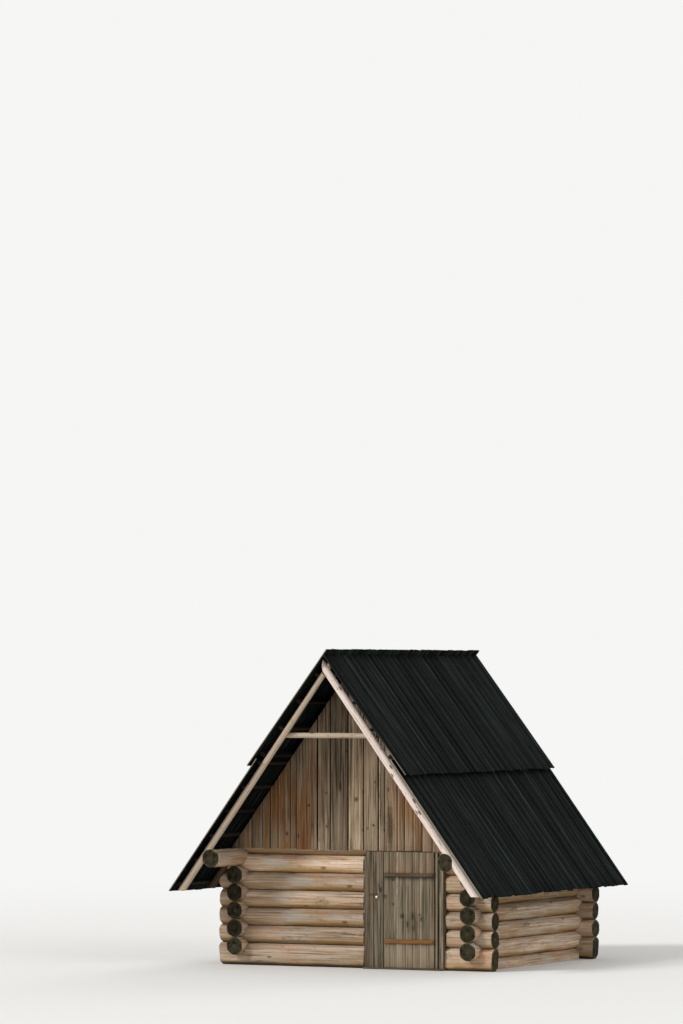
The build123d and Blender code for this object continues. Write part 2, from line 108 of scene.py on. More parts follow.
class LogLooks(bpy.types.PropertyGroup):
    """Sizes and colours of the wall logs."""
    radius: length("Radius", "Radius of a course log", 0.150)
    sill_radius: length("Sill radius", "Radius of the logs on the ground", 0.184)
    half_thickness: length("Half thickness", "From a log's middle to its hewn faces", 0.142)
    half_height: length("Half height", "From a log's middle to its beds", 0.14485)
    sill_half_height: length("Sill half height", "From a sill log's middle to its beds", 0.17985)
    hewing: length("Hewing", "Depth of the dips that hewing left", 0.008)
    shoulder: length("Shoulder", "Depth of the uneven hollows beside the beds", 0.014)
    flat: length("Flat", "What hewing took off the faces of the wall logs", 0.020)
    head_flat: length("Head flat", "What hewing took off the faces of the head logs and plates", 0.004)
    flat_run: length("Flat run", "How far the flat faces take to run out at a corner", 0.14)
    check_depth: length("Check depth", "Depth of the drying checks", 0.016)
    step: length("Step", "Length between two rings of points", 0.11)
    pale: colour("Pale", "Sun-bleached wood of the logs", 222, 200, 176)
    deep: colour("Deep", "Darker fibres of the logs", 148, 122, 94)
    under: colour("Underside", "Yellowish wood on the sheltered undersides", 158, 124, 72)
    stain: colour("Stain", "Rosy brown patches of the logs", 190, 150, 120)
    resin: colour("Resin", "Orange spots of the logs", 186, 122, 66)
    silver: colour("Silver", "Silvery patches of the logs", 186, 178, 166)
    bruise: colour("Bruise", "Grey weather marks of the logs", 104, 94, 80)
    end_pale: colour("End pale", "Light rings of the sawn ends", 76, 69, 51)
    end_deep: colour("End deep", "Dark rings of the sawn ends", 27, 25, 16)
    end_rim: colour("End rim", "Paler rim of the sawn ends", 88, 86, 66)


class PoleLooks(bpy.types.PropertyGroup):
    """Sizes and colours of the poles, rafters and battens."""
    right_tip: length("Right tip", "Radius of the right front pole at the ridge", 0.064)
    right_butt: length("Right butt", "Radius of the right front pole at the eaves", 0.071)
    left_tip: length("Left tip", "Radius of the left front pole at the ridge", 0.045)
    left_butt: length("Left butt", "Radius of the left front pole at the eaves", 0.061)
    rafter: length("Rafter", "Radius of the rafters", 0.060)
    collar: length("Collar", "Radius of the collars", 0.044)
    sawn_off: length("Sawn off", "What the cuts take off a pole at each end", 0.240)
    run: length("Run", "From the crossing of the rafters to their feet, down the slope", 4.4383)
    step: length("Step", "Length between two rings of points", 0.10)
    unevenness: length("Unevenness", "Depth of the dips along a pole", 0.004)
    # Both poles are bleached peeled wood; the right pole is made paler as painted sunlight, the left pole
    # and its collar darker as painted shade.
    right_pale: colour("Right pole", "Bleached wood of the right front pole", 248, 229, 217)
    left_pale: colour("Left pole", "Bleached wood of the left front pole and its collar", 191, 172, 150)
    fleck: colour("Flecks", "Brown inner bark left on the poles", 150, 116, 84)
    knot: colour("Knots", "Knots of the poles", 92, 62, 42)
    # Rafters and battens are darkened as painted shade, for they stand under the roof.
    rafter_pale: colour("Rafter pale", "Light fibres of the rafters", 92, 78, 60)
    rafter_deep: colour("Rafter deep", "Dark fibres of the rafters", 54, 44, 32)
    batten_pale: colour("Batten pale", "Light fibres of the battens", 46, 42, 34)
    batten_deep: colour("Batten deep", "Dark fibres of the battens", 24, 21, 17)


class BoardLooks(bpy.types.PropertyGroup):
    """Sizes and colours of the gables and the roof."""
    roof_width: length("Roof board width", "Usual width of a roof board", 0.205)
    roof_gap: length("Roof board gap", "Gap between two roof boards", 0.0012)
    roof_step: length("Roof step", "How much lower some roof boards lie", 0.005)
    roof_ragged: length("Ragged ends", "How much the lower ends of the roof boards differ", 0.030)
    ridge_ragged: length("Ridge ragged ends", "How much the upper ends at the ridge differ", 0.010)
    gable_gap: length("Gable gap", "Usual gap between two gable boards", 0.006)
    gable_ragged: length("Gable ragged ends", "How much the feet of the gable boards differ", 0.018)
    edge: length("Worn edge", "Width of the worn edge of a board", 0.003)
    nail: length("Nail", "Radius of a nail head", 0.0055)
    gable_pale: colour("Gable pale", "Silver-brown fibres of the gable boards", 164, 145, 121)
    gable_deep: colour("Gable deep", "Dark fibres of the gable boards", 76, 62, 45)
    gable_warm: colour("Gable warm", "Orange-brown wood at the sheltered corners", 148, 99, 53)
    gable_rust: colour("Gable rust", "Red-brown streaks at the sheltered corners", 104, 60, 32)
    roof_dark: colour("Roof dark", "Dark fibres of the roof boards", 7, 11, 9)
    roof_mid: colour("Roof mid", "Usual grey of the roof boards", 16, 22, 20)
    roof_pale: colour("Roof pale", "Grey streaks of the roof boards", 51, 57, 53)
    roof_moss: colour("Roof moss", "Green growth on the roof boards", 18, 22, 14)
    # Painted highlight: the end boards' outer edges are made pale where they catch the light.
    roof_rim: colour("Roof rim", "Bleached outer edges of the end boards", 158, 147, 126)


class DoorLooks(bpy.types.PropertyGroup):
    """Colours of the doorway, the door and the ironwork."""
    gap: length("Gap", "Gap between two boards of the leaf", 0.004)
    edge: length("Worn edge", "Width of the worn edges", 0.003)
    nail: length("Nail", "Radius of a nail head", 0.005)
    pale: colour("Door pale", "Light fibres of the door boards", 145, 133, 114)
    deep: colour("Door deep", "Dark fibres of the door boards", 80, 71, 55)
    warm: colour("Door warm", "Brown patches of the door boards", 142, 112, 84)
    foot: colour("Door foot", "Paler wood low down on the door", 160, 143, 119)
    upper_ledge: colour("Upper ledge", "Grey-brown wood of the upper ledge", 108, 93, 72)
    lower_ledge: colour("Lower ledge", "Orange-brown wood of the lower ledge", 158, 112, 66)
    rust_dark: colour("Rust dark", "Dark rust of the ironwork", 60, 43, 31)
    rust_bright: colour("Rust bright", "Bright rust of the ironwork", 118, 74, 45)
    steel: colour("Padlock", "Worn steel of the padlock", 178, 174, 165)


class StageLooks(bpy.types.PropertyGroup):
    """The camera, the light and the floor."""
    distance: length("Distance", "From the camera to the middle of the view", 81.737)
    azimuth: angle("Azimuth", "How far the camera stands round to the right", 26.107)
    elevation: angle("Elevation", "How far the camera stands up", 1.824)
    yaw: angle("Yaw", "How far the camera turns to the left", 0.384)
    pitch: angle("Pitch", "How far the camera turns up", 3.643)
    lens: FloatProperty(name="Lens", description="Focal length", default=175.78, unit="CAMERA")
    floor_radius: length("Floor radius", "Radius of the floor", 400.0)
    floor_depth: length("Floor depth", "How far the floor lies below the ground", 0.002)
    fade_from: length("Fade from", "Where the floor starts to go over into the background", 7.0)
    fade_to: length("Fade to", "Where the floor has gone over into the background", 34.0)
    floor: colour("Floor", "Colour of the floor", 238, 237, 234)
    background: colour("Background", "Colour of the background", 246, 246, 245)
    daylight: FloatProperty(name="Daylight", description="Strength of the even light", default=0.52)
    key: FloatProperty(name="Key light", description="Strength of the main lamp", default=1.75)


# Meshes

def extent(bm, direction):
    """From where to where a mesh reaches along a direction."""
    stations = [v.co.dot(direction) for v in bm.verts]
    return min(stations), max(stations)


def box_of(bm):
    """Lowest and highest corner of a mesh in work."""
    spans = [extent(bm, axis) for axis in (ALONG_X, ALONG_Y, UPWARD)]
    return tuple(Vector(corner) for corner in zip(*spans))


def add_layers(bm):
    """Gives a mesh room for its place in the wood, its distance from both long edges, and how pale it is."""
    bm.verts.layers.float_vector.new("grain")
    bm.verts.layers.float_vector.new("sides")
    bm.verts.layers.float.new("tone")


def merged(node):
    """Copies the mesh of a node of the frame, welds it and dissolves the lines across its flat faces."""
    bm = bmesh.new()
    bm.from_mesh(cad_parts[node].data)
    bmesh.ops.remove_doubles(bm, verts=bm.verts, dist=WELD)
    bmesh.ops.dissolve_limit(bm, angle_limit=FLATNESS, verts=bm.verts, edges=bm.edges)
    add_layers(bm)
    return bm


def solids_of(node):
    """Gives each solid of a node as a mesh of its own, from the lowest to the highest."""
    whole = merged(node)
    whole.verts.ensure_lookup_table()
    group = [-1] * len(whole.verts)
    count = 0
    for start in whole.verts:
        if group[start.index] >= 0:
            continue
        group[start.index] = count
        waiting = [start]
        while waiting:
            for edge in waiting.pop().link_edges:
                for v in edge.verts:
                    if group[v.index] < 0:
                        group[v.index] = count
                        waiting.append(v)
        count += 1
    found = []
    for number in range(count):
        one = whole.copy()
        spare = [v for v in one.verts if group[v.index] != number]
        bmesh.ops.delete(one, geom=spare, context="VERTS")
        found.append(one)
    whole.free()
    return sorted(found, key=lambda one: tuple(round(c, 3) for c in reversed(box_of(one)[1])))


def slice_at(bm, point, normal, only=None, clear=False):
    """Divides the faces that a plane crosses, or only those given, and can clear what lies beyond."""
    everything = bm.verts[:] + bm.edges[:] + bm.faces[:]
    bmesh.ops.bisect_plane(bm, geom=only or everything, dist=WELD, plane_co=point, plane_no=normal,
                           clear_outer=clear)


def saw_off(bm, point, normal):
    """Takes away what lies beyond a plane and closes the cut."""
    slice_at(bm, point, normal, clear=True)
    rim = [e for e in bm.edges if e.is_boundary]
    if rim:
        bmesh.ops.holes_fill(bm, edges=rim, sides=0)


def slice_along(bm, direction, step):
    """Divides a mesh by planes across that direction, about a step apart."""
    low, high = extent(bm, direction)
    count = max(1, round((high - low) / step))
    for i in range(1, count):
        slice_at(bm, direction * (low + (high - low) * i / count), direction)


def slice_round(bm, middle, direction, start, count, up=UPWARD):
    """Divides a mesh by planes that hold its middle line, evenly round it."""
    side = up.cross(direction).normalized()
    over = direction.cross(side)
    for i in range(count):
        turn = start + math.pi * i / count
        slice_at(bm, middle, side * math.cos(turn) + over * math.sin(turn))


def lay_grain(bm, origin, along, up, tone, drift, edge_highlight=0.5):
    """Stores at each point its place along, across and through the wood, its sides and how pale it is.

    The last argument is how clearly a painted highlight shows pale beside its first long edge.
    """
    vectors = bm.verts.layers.float_vector
    grain, sides, pale = vectors["grain"], vectors["sides"], bm.verts.layers.float["tone"]
    side = up.cross(along)
    low, high = extent(bm, side)
    for v in bm.verts:
        arm = v.co - origin
        v[grain] = Vector((arm.dot(along), arm.dot(side), arm.dot(up))) + drift
        v[sides] = (v.co.dot(side) - low, high - v.co.dot(side), edge_highlight)
        v[pale] = tone


def drift_of(draw, axes=3):
    """A chance place in the grain, off along so many of its axes."""
    return Vector([draw.uniform(3, 60) if axis < axes else 0 for axis in range(3)])


def seed_of(draw):
    """A chance place in the waves."""
    return Vector((draw.uniform(0, 90), draw.uniform(0, 90), 0))


def wavy(seed, *place):
    """Height of soft waves, from -1 to 1, at a place."""
    return noise.noise(seed + Vector(place))


def mark_ends(bm, direction, low, high):
    """Gives the outermost faces across a direction the second material."""
    for face in bm.faces:
        place = face.calc_center_median().dot(direction)
        if abs(face.normal.dot(direction)) > 0.9 and min(place - low, high - place) < END_FACES:
            face.material_index = 1


def soften(bm, degrees):
    """Shades a mesh smooth, with sharp edges where its faces meet at more than an angle."""
    bm.normal_update()
    for face in bm.faces:
        face.smooth = True
    for edge in bm.edges:
        edge.smooth = edge.is_manifold and edge.calc_face_angle(math.pi) < math.radians(degrees)


def wear_edges(bm, width, least=0.5):
    """Wears the sharp edges of a mesh down to a narrow bevel."""
    sharp = [e for e in bm.edges if e.is_manifold and e.calc_face_angle(0) > least]
    bmesh.ops.bevel(bm, geom=sharp, offset=width, offset_type="OFFSET", segments=1, profile=0.5,
                    affect="EDGES", clamp_overlap=True, material=-1)


def nail_spots(edges, rows, inset, across, along, draw=None, aside=0.0, astray=0.0):
    """Lines of two nails in each row of each board between the edges, moved by chance within two reaches."""
    spots = []
    for left, right in zip(edges, edges[1:]):
        for row in rows:
            for share in (inset, 1 - inset):
                place = left + (right - left) * share + (draw.uniform(-aside, aside) if aside else 0.0)
                height = row + (draw.uniform(-astray, astray) if astray else 0.0)
                spots.append(across * place + along * height)
    return spots


def nail_heads(spots, out, boards, radius, number):
    """Low round nail heads that sit on finished boards, as a mesh with that material's number.

    Each spot is a point anywhere on the line that the nail was driven along.
    """
    trees = [BVHTree.FromBMesh(one) for one in boards]
    plane = max(extent(one, out)[1] for one in boards)
    heads = bmesh.new()
    add_layers(heads)
    turned = out.to_track_quat("Z", "Y").to_matrix().to_4x4()
    for spot in spots:
        start = spot + out * (plane + 0.5 - spot.dot(out))
        hits = [hit for hit in (tree.ray_cast(start, -out)[0] for tree in trees) if hit]
        if hits:
            seat = max(hits, key=lambda hit: hit.dot(out))
            bmesh.ops.create_cone(heads, cap_ends=True, segments=8, radius1=radius, radius2=radius * 0.6,
                                  depth=NAIL_HEIGHT,
                                  matrix=Matrix.Translation(seat + out * NAIL_MIDDLE) @ turned)
    for face in heads.faces:
        face.material_index = number
    return heads


def deliver(name, solids, materials, body, slot, *replaced):
    """Joins finished solids into one piece that rides on a body and stands for nodes of the frame."""
    whole = bmesh.new()
    for one in solids:
        part = bpy.data.meshes.new(name)
        one.to_mesh(part)
        one.free()
        whole.from_mesh(part)
        bpy.data.meshes.remove(part)
    bmesh.ops.triangulate(whole, faces=[f for f in whole.faces if len(f.verts) > 4])
    mesh = bpy.data.meshes.new(name)
    whole.to_mesh(mesh)
    whole.free()
    for material in materials:
        mesh.materials.append(material)
    piece = bpy.data.objects.new(name, mesh)
    bpy.context.scene.collection.objects.link(piece)
    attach(piece, body)
    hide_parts(*replaced)


# Materials

class Finish:
    """The nodes of a material, or of the light all round, in work."""

    def __init__(self, name, kind="materials"):
        self.block = getattr(bpy.data, kind).new(name)
        self.block.use_nodes = True
        self.tree = self.block.node_tree
        self.tree.nodes.clear()

    def add(self, kind, inputs=None, **settings):
        """Adds a node, with its inputs set or linked, and gives it back."""
        node = self.tree.nodes.new("ShaderNode" + kind)
        for key, value in settings.items():
            setattr(node, key, value)
        for key, value in (inputs or {}).items():
            socket = node.inputs[key]
            if isinstance(value, bpy.types.NodeSocket):
                self.tree.links.new(value, socket)
            else:
                socket.default_value = (*value, 1) if socket.type == "RGBA" else value
        return node

    def maths(self, operation, *values):
        """A sum of values."""
        return self.add("Math", dict(enumerate(values)), operation=operation).outputs[0]

    def product(self, first, *others):
        """All values multiplied."""
        for other in others:
            first = self.maths("MULTIPLY", first, other)
        return first

    def total(self, *parts):
        """Sum of values, each with its weight."""
        found = 0.0
        for value, weight in parts:
            found = self.maths("MULTIPLY_ADD", value, weight, found)
        return found

    def reach(self, vector):
        """Length of a vector."""
        return self.add("VectorMath", {0: vector}, operation="LENGTH").outputs["Value"]

    def parts(self, vector):
        """The three coordinates of a vector."""
        return self.add("SeparateXYZ", {0: vector}).outputs

    def place(self):
        """Place in the piece's own frame."""
        return self.add("TexCoord").outputs["Object"]

    def stored(self, name, output="Vector"):
        """What the mesh's points store under a name."""
        return self.add("Attribute", attribute_name=name, attribute_type="GEOMETRY").outputs[output]

    def grain(self, along, across, through=None):
        """The grain's own coordinates, stretched by these factors."""
        factors = (along, across, across if through is None else through)
        return self.add("VectorMath", {0: self.stored("grain"), 1: factors}, operation="MULTIPLY").outputs[0]

    def noise(self, place, detail=4.0, rough=0.6, twist=0.0, scale=1.0):
        """Noise between 0 and 1."""
        inputs = {"Vector": place, "Scale": scale, "Detail": detail, "Roughness": rough, "Distortion": twist}
        return self.add("TexNoise", inputs).outputs["Fac"]

    def figure(self, along, across, detail=4.0, rough=0.6, twist=0.0, through=None):
        """Noise between 0 and 1 that follows the grain."""
        return self.noise(self.grain(along, across, through), detail, rough, twist)

    def span(self, value, low, high, to_low=0.0, to_high=1.0):
        """Maps a value smoothly from one span to another."""
        inputs = {"Value": value, "From Min": low, "From Max": high, "To Min": to_low, "To Max": to_high}
        return self.add("MapRange", inputs, interpolation_type="SMOOTHSTEP").outputs[0]

    def tint(self, under, *coats):
        """Lays coats over a colour. Each is a colour and the shares whose product says how much it shows."""
        for over, *shares in coats:
            inputs = {"Factor": self.product(*shares), 6: under, 7: over}
            under = self.add("Mix", inputs, data_type="RGBA", blend_type="MIX").outputs[2]
        return under

    def toned(self, wood, darkest, palest):
        """Makes wood as pale as its own tone says."""
        level = self.span(self.stored("tone", "Fac"), 0.0, 1.0, darkest, palest)
        return self.add("HueSaturation", {"Color": wood, "Value": level}).outputs[0]

    def knots(self, place, size, share):
        """Knots: 1 inside them and 0 outside, in that share of the cells."""
        cell = self.add("TexVoronoi", {"Vector": place, "Scale": 1.0, "Randomness": 1.0})
        chosen = self.add("SeparateColor", {0: cell.outputs["Color"]}).outputs[0]
        near = self.span(cell.outputs["Distance"], size, size * 0.55)
        return self.product(near, self.maths("LESS_THAN", chosen, share))

    def marks(self, *spots):
        """Marks on an upright wall: 1 in their middle and 0 outside. Each has its x, z, width and height."""
        place = self.place()
        ripple = self.figure(16.0, 42.0, 3)
        found = 0.0
        for x, z, wide, high in spots:
            inputs = {0: place, 1: (2 / wide, 0, 2 / high), 2: (-2 * x / wide, 0, -2 * z / high)}
            arm = self.add("VectorMath", inputs, operation="MULTIPLY_ADD").outputs[0]
            near = self.span(self.total((self.reach(arm), 1), (ripple, 1.1)), 1.75, 0.9)
            found = self.maths("MAXIMUM", near, found)
        return found

    def surface(self, tint, height, depth, rough, metal=0.0, gloss=0.25):
        """A surface with that colour and relief."""
        bump = self.add("Bump", {"Height": height, "Strength": 1.0, "Distance": depth}).outputs[0]
        return self.add("BsdfPrincipled", {"Base Color": tint, "Roughness": rough, "Normal": bump,
                                           "Metallic": metal, "Specular IOR Level": gloss}).outputs[0]

    def close(self, surface, kind="Material"):
        """Ends the nodes with what shows, and gives back what they belong to."""
        self.add("Output" + kind, {"Surface": surface})
        return self.block


def timber(name, pale, deep, stain, stained=0.5, knot_share=0.35, knot_size=0.10, knot_place=(2.2, 9.0),
           contrast=1.0, depth=0.003, tones=(0.72, 1.22), spots=(), seam_shade=0.0, lit=0.0, highlight_tint=None,
           adzed=0.0, gloss=0.12, extra=None):
    """Weathered wood: fibres, streaks, bands, patches, knots and fine checks along the grain.

    Seam shade is how much painted shade darkens the long edges of its boards, lit how clear the painted
    highlight beside the first of them is, highlight tint that highlight's colour, and adzed how deep the
    shallow scoops of the adze are.
    """
    finish = Finish(name)
    fibre = finish.figure(2.2, 95.0, rough=0.7)
    streak = finish.figure(0.9, 36.0, 3, twist=0.3)
    band = finish.figure(0.55, 15.0, twist=0.4)
    patch = finish.span(finish.figure(0.9, 3.0, 5, 0.65), 0.46, 0.68, 0.0, stained)
    lightness = finish.total((streak, 0.42), (band, 0.33), (fibre, 0.25))
    lightness = finish.span(lightness, 0.5 - 0.13 / contrast, 0.5 + 0.13 / contrast)
    wood = finish.tint(deep, (pale, lightness), (stain, patch))
    if extra:
        wood = extra(finish, wood)
    knot = finish.knots(finish.grain(*knot_place), knot_size, knot_share)
    if spots:
        knot = finish.maths("MAXIMUM", knot, finish.marks(*spots))
    check = finish.span(finish.figure(0.8, 60.0, 3, 0.5, 0.2), 0.65, 0.70)
    wood = finish.tint(wood, (dim(deep, 0.42), knot, 0.78), (dim(deep, 0.25), check, 0.75))
    wood = finish.toned(wood, *tones)
    if seam_shade:
        first, other, edge_highlight = finish.parts(finish.stored("sides"))
        waver = finish.figure(3.0, 8.0, 3)
        # Painted highlight: a pale line beside the first long edge of each board.
        highlight_line = finish.span(finish.total((first, 1), (waver, -0.014)), 0.020, 0.006)
        shown = finish.span(waver, 0.36, 0.56, 0.3 * lit, lit)
        # Painted shade: both long edges of each board darken towards their seams.
        nearer = finish.total((finish.maths("MINIMUM", first, other), 1), (waver, -0.010))
        dark = finish.span(nearer, 0.005, -0.004, 0.0, seam_shade)
        wood = finish.tint(wood, (highlight_tint or [min(1.0, c * 1.6) for c in pale], highlight_line, shown, edge_highlight),
                           (dim(deep, 0.12), dark))
    relief = [(fibre, 0.5), (streak, 0.6), (check, -1), (knot, 0.4)]
    if adzed:
        scoop = finish.add("TexVoronoi", {"Vector": finish.grain(4.5, 10.0), "Scale": 1.0},
                           feature="SMOOTH_F1").outputs["Distance"]
        relief.append((scoop, 2.2 * adzed))
    rough = finish.span(fibre, 0.2, 0.8, 0.95, 0.80)
    return finish.close(finish.surface(wood, finish.total(*relief), depth, rough, gloss=gloss))


def end_grain(name, pale, deep, rim=None):
    """Sawn ends of round wood: rings about the pith, star-shaped checks, grey weathering and a paler rim."""
    finish = Finish(name)
    place = finish.stored("grain")
    inputs = {"Vector": place, "Scale": 26.0, "Distortion": 1.2, "Detail": 3.0, "Detail Scale": 9.0}
    rings = finish.add("TexWave", inputs, wave_type="RINGS", rings_direction="X").outputs["Fac"]
    along, across, up = finish.parts(place)
    turn = finish.product(finish.maths("ARCTAN2", up, across), 2.6)
    star_place = finish.add("CombineXYZ", {0: turn, 1: along}).outputs[0]
    star = finish.span(finish.noise(star_place, 2, 0.5, scale=1.6), 0.62, 0.68)
    saw = finish.figure(30.0, 55.0, through=12.0)
    patch = finish.figure(5.0, 11.0)
    lightness = finish.total((rings, 0.4), (saw, 0.6))
    wood = finish.tint(deep, (pale, finish.span(lightness, 0.2, 0.8)),
                       (dim(deep, 0.45), finish.span(patch, 0.48, 0.62, 0.0, 0.7)))
    if rim is not None:
        reach = finish.reach(finish.add("CombineXYZ", {0: across, 1: up}).outputs[0])
        heart = finish.span(finish.total((reach, 1), (patch, 0.06)), 0.085, 0.045, 0.0, 0.5)
        outside = finish.span(finish.total((reach, 1), (saw, 0.05)), 0.14, 0.17)
        broken = finish.span(finish.figure(3.0, 6.0, 3), 0.42, 0.58, 0.1, 0.85)
        wood = finish.tint(wood, (dim(pale, 1.15), heart), (rim, outside, broken))
    wood = finish.toned(finish.tint(wood, (dim(deep, 0.15), star, 0.85)), 0.62, 1.5)
    height = finish.total((lightness, 0.6), (star, -1))
    return finish.close(finish.surface(wood, height, 0.004, 0.95, gloss=0.1))


def rust(name, dark, bright):
    """Old iron: dark rust with brighter, rougher patches."""
    finish = Finish(name)
    coarse = finish.noise(finish.place(), 5, 0.7, scale=38.0)
    fine = finish.noise(finish.place(), 3, scale=420.0)
    worn = finish.total((coarse, 0.7), (fine, 0.3))
    iron = finish.tint(dark, (bright, finish.span(worn, 0.40, 0.62)))
    rough = finish.span(worn, 0.35, 0.65, 0.62, 0.92)
    return finish.close(finish.surface(iron, worn, 0.0012, rough, metal=0.25, gloss=0.4))


def worn_steel(name, steel, dark):
    """Worn steel with fine scratches and dull spots."""
    finish = Finish(name)
    place = finish.add("Mapping", {"Vector": finish.place(), "Scale": (60.0, 60.0, 900.0)}).outputs[0]
    scratch = finish.noise(place, 3)
    spot = finish.noise(finish.place(), scale=160.0)
    metal = finish.tint(steel, (dark, finish.span(spot, 0.55, 0.72, 0.0, 0.8)))
    rough = finish.span(scratch, 0.3, 0.7, 0.32, 0.55)
    relief = finish.maths("ADD", scratch, spot)
    return finish.close(finish.surface(metal, relief, 0.0004, rough, metal=0.85, gloss=0.5))


# Logs

def log_outline(turn, radius, half_thickness, half_height):
    """How far a log's surface lies from its middle, at an angle up from its side."""
    return min(radius, half_thickness / max(abs(math.cos(turn)), 1e-6),
               half_height / max(abs(math.sin(turn)), 1e-6))


def hewn_log(bm, along, looks, draw, outward, flat, corners, tone):
    """Finishes one log: hewing dips, a drying check on its outer face, tilted sawn ends and its grain.

    Its faces are flat between the corners and round beyond them.
    """
    low, high = box_of(bm)
    side = UPWARD.cross(along)
    sill = high.z - low.z > 2.1 * looks.half_height
    half_height = looks.sill_half_height if sill else looks.half_height
    radius = looks.sill_radius if sill else looks.radius
    middle = (low + high) / 2
    middle.z = high.z - half_height
    slice_round(bm, middle, along, math.pi / 16, 8)
    turn = draw.uniform(0.15, 0.75)
    if outward < 0:
        turn = math.pi - turn
    for cut in (turn - CHECK_TURN, turn, turn + CHECK_TURN):
        direction = side * math.cos(cut) + UPWARD * math.sin(cut)
        near = [f for f in bm.faces if (f.calc_center_median() - middle).dot(direction) > 0.3 * radius]
        only = {item for f in near for item in (f, *f.edges, *f.verts)}
        across = side * -math.sin(cut) + UPWARD * math.cos(cut)
        slice_at(bm, middle, across, sorted(only, key=lambda item: (type(item).__name__, item.index)))
    slice_along(bm, along, looks.step)
    start, stop = low.dot(along), high.dot(along)
    check_from = start + (stop - start) * draw.uniform(0.0, 0.35)
    check_to = check_from + (stop - start) * draw.uniform(0.35, 0.6)
    seed = seed_of(draw)
    lay_grain(bm, middle, along, UPWARD, tone, drift_of(draw, 1))
    tilt = [(draw.uniform(-0.07, 0.07), draw.uniform(-0.10, 0.04), draw.uniform(0.0, 0.012))
            for _ in range(2)]
    mark_ends(bm, along, start, stop)
    for v in bm.verts:
        arm = v.co - middle
        station, across, over = arm.dot(along), arm.dot(side), arm.dot(UPWARD)
        out = math.hypot(across, over)
        place = v.co.dot(along)
        turned = math.atan2(over, across)
        facing = abs(math.cos(turned))
        if out > SURFACE * log_outline(turned, radius, looks.half_thickness, half_height):
            wave = wavy(seed, station * 2.1, turned * 1.2, 0)
            fine = wavy(seed, station * 7.0, turned * 3.5, 7)
            inward = looks.hewing * min(1.0, facing * 1.25) ** 0.8 * (0.5 + 0.35 * wave + 0.3 * fine)
            shoulder = max(0.0, 1.0 - abs(facing - 0.5) / 0.3)
            inward += looks.shoulder * shoulder * max(0.0, 0.35 + wavy(seed, station * 1.6, turned, 5))
            within = min(place - corners[0], corners[1] - place)
            hewn = flat * min(1.0, max(0.0, within / looks.flat_run))
            face = looks.half_thickness - hewn * (1.0 + 0.5 * wave + 0.35 * fine)
            inward = max(inward, out - face / max(facing, 1e-6))
            if abs(turned - turn) < 0.004 and check_from < place < check_to:
                share = math.sin(math.pi * (place - check_from) / (check_to - check_from))
                inward += looks.check_depth * share * (0.7 + 0.6 * abs(fine))
            v.co -= (side * across + UPWARD * over) / out * max(0.0, inward)
            if abs(turned - turn) < 0.03:
                wander = 0.010 * wavy(seed, station * 1.3, 0, 3)
                v.co += (UPWARD * across - side * over) / out * wander
        for end, inwards, (lean_side, lean_up, back) in zip((start, stop), (along, -along), tilt):
            if abs(place - end) < END_POINTS:
                v.co += inwards * (back + max(0.0, lean_side * across + lean_up * over + 0.012))
    soften(bm, degrees=27)
    return bm


def sheltered(looks, finish, wood):
    """Grey, silvery and orange patches, yellowish undersides, and painted shade that darkens the foot of
    each log at its bed.
    """
    bruise = finish.span(finish.figure(2.2, 7.0, 5, 0.7, 0.6), 0.56, 0.70, 0.0, 0.7)
    silver = finish.span(finish.figure(1.5, 5.0, 5, 0.7, 0.5), 0.52, 0.66, 0.0, 0.65)
    resin = finish.span(finish.figure(4.0, 11.0, 4, 0.65, 0.8), 0.60, 0.72, 0.0, 0.75)
    cloud = finish.span(finish.figure(0.7, 1.5, 3), 0.36, 0.60, 0.15, 0.8)
    over = finish.parts(finish.stored("grain"))[2]
    over = finish.total((over, 1), (finish.figure(2.5, 6.0, 3), 0.06))
    return finish.tint(wood, (looks.bruise, bruise), (looks.silver, silver), (looks.resin, resin),
                       (looks.under, cloud, finish.span(over, 0.02, -0.075)),
                       # painted shade: the bottom of each log darkens towards its bed
                       (dim(looks.deep, 0.28), finish.span(over, -0.080, -0.132, 0.0, 0.9)))


class CABIN_OT_wall_logs(bpy.types.Operator):
    """Make the hewn logs of all four walls, the head logs and the wall plates"""
    bl_idname = "cabin.wall_logs"
    bl_label = "Wall Logs"

    def execute(self, context):
        looks = context.scene.cabin_logs
        wood = timber("hewn_log", looks.pale, looks.deep, looks.stain, stained=0.75, knot_share=0.34,
                      knot_size=0.16, knot_place=(2.4, 5.5), contrast=1.1, depth=0.004, adzed=1.1,
                      tones=(0.78, 1.36), extra=partial(sheltered, looks))
        ends = end_grain("log_end", looks.end_pale, looks.end_deep, looks.end_rim)
        walls = {
            "front_logs_left": (ALONG_X, -1), "front_logs_right": (ALONG_X, -1),
            "front_head_log": (ALONG_X, -1), "rear_wall_logs": (ALONG_X, 1), "rear_head_log": (ALONG_X, 1),
            "left_wall_logs": (ALONG_Y, 1), "right_wall_logs": (ALONG_Y, -1),
            "left_wall_plate": (ALONG_Y, 1), "right_wall_plate": (ALONG_Y, -1),
        }
        middles = {node: (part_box(node)[0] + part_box(node)[1]) / 2 for node in walls}
        across_x = (middles["left_wall_logs"].x, middles["right_wall_logs"].x)
        across_y = (middles["front_logs_left"].y, middles["rear_wall_logs"].y)
        for node, (along, outward) in walls.items():
            draw = random.Random(node)
            flat = looks.head_flat if "head" in node or "plate" in node else looks.flat
            corners = across_x if along is ALONG_X else across_y
            solids = solids_of(node)
            tones = [draw.uniform(0.08, 0.55) for _ in solids]
            # The top log of the left front wall is made palest as a painted highlight of the sunlight on it.
            if node == "front_logs_left":
                tones[-1] = 1.0
            # The head logs take the darkest tone, as painted shade for the strip under the gable boards.
            if "head" in node:
                tones = [0.0]
            solids = [hewn_log(one, along, looks, draw, outward, flat, corners, tone)
                      for one, tone in zip(solids, tones)]
            deliver(node + "_hewn", solids, (wood, ends), BODY_HOUSE, "log", node)
        return {"FINISHED"}


# Poles, rafters and battens

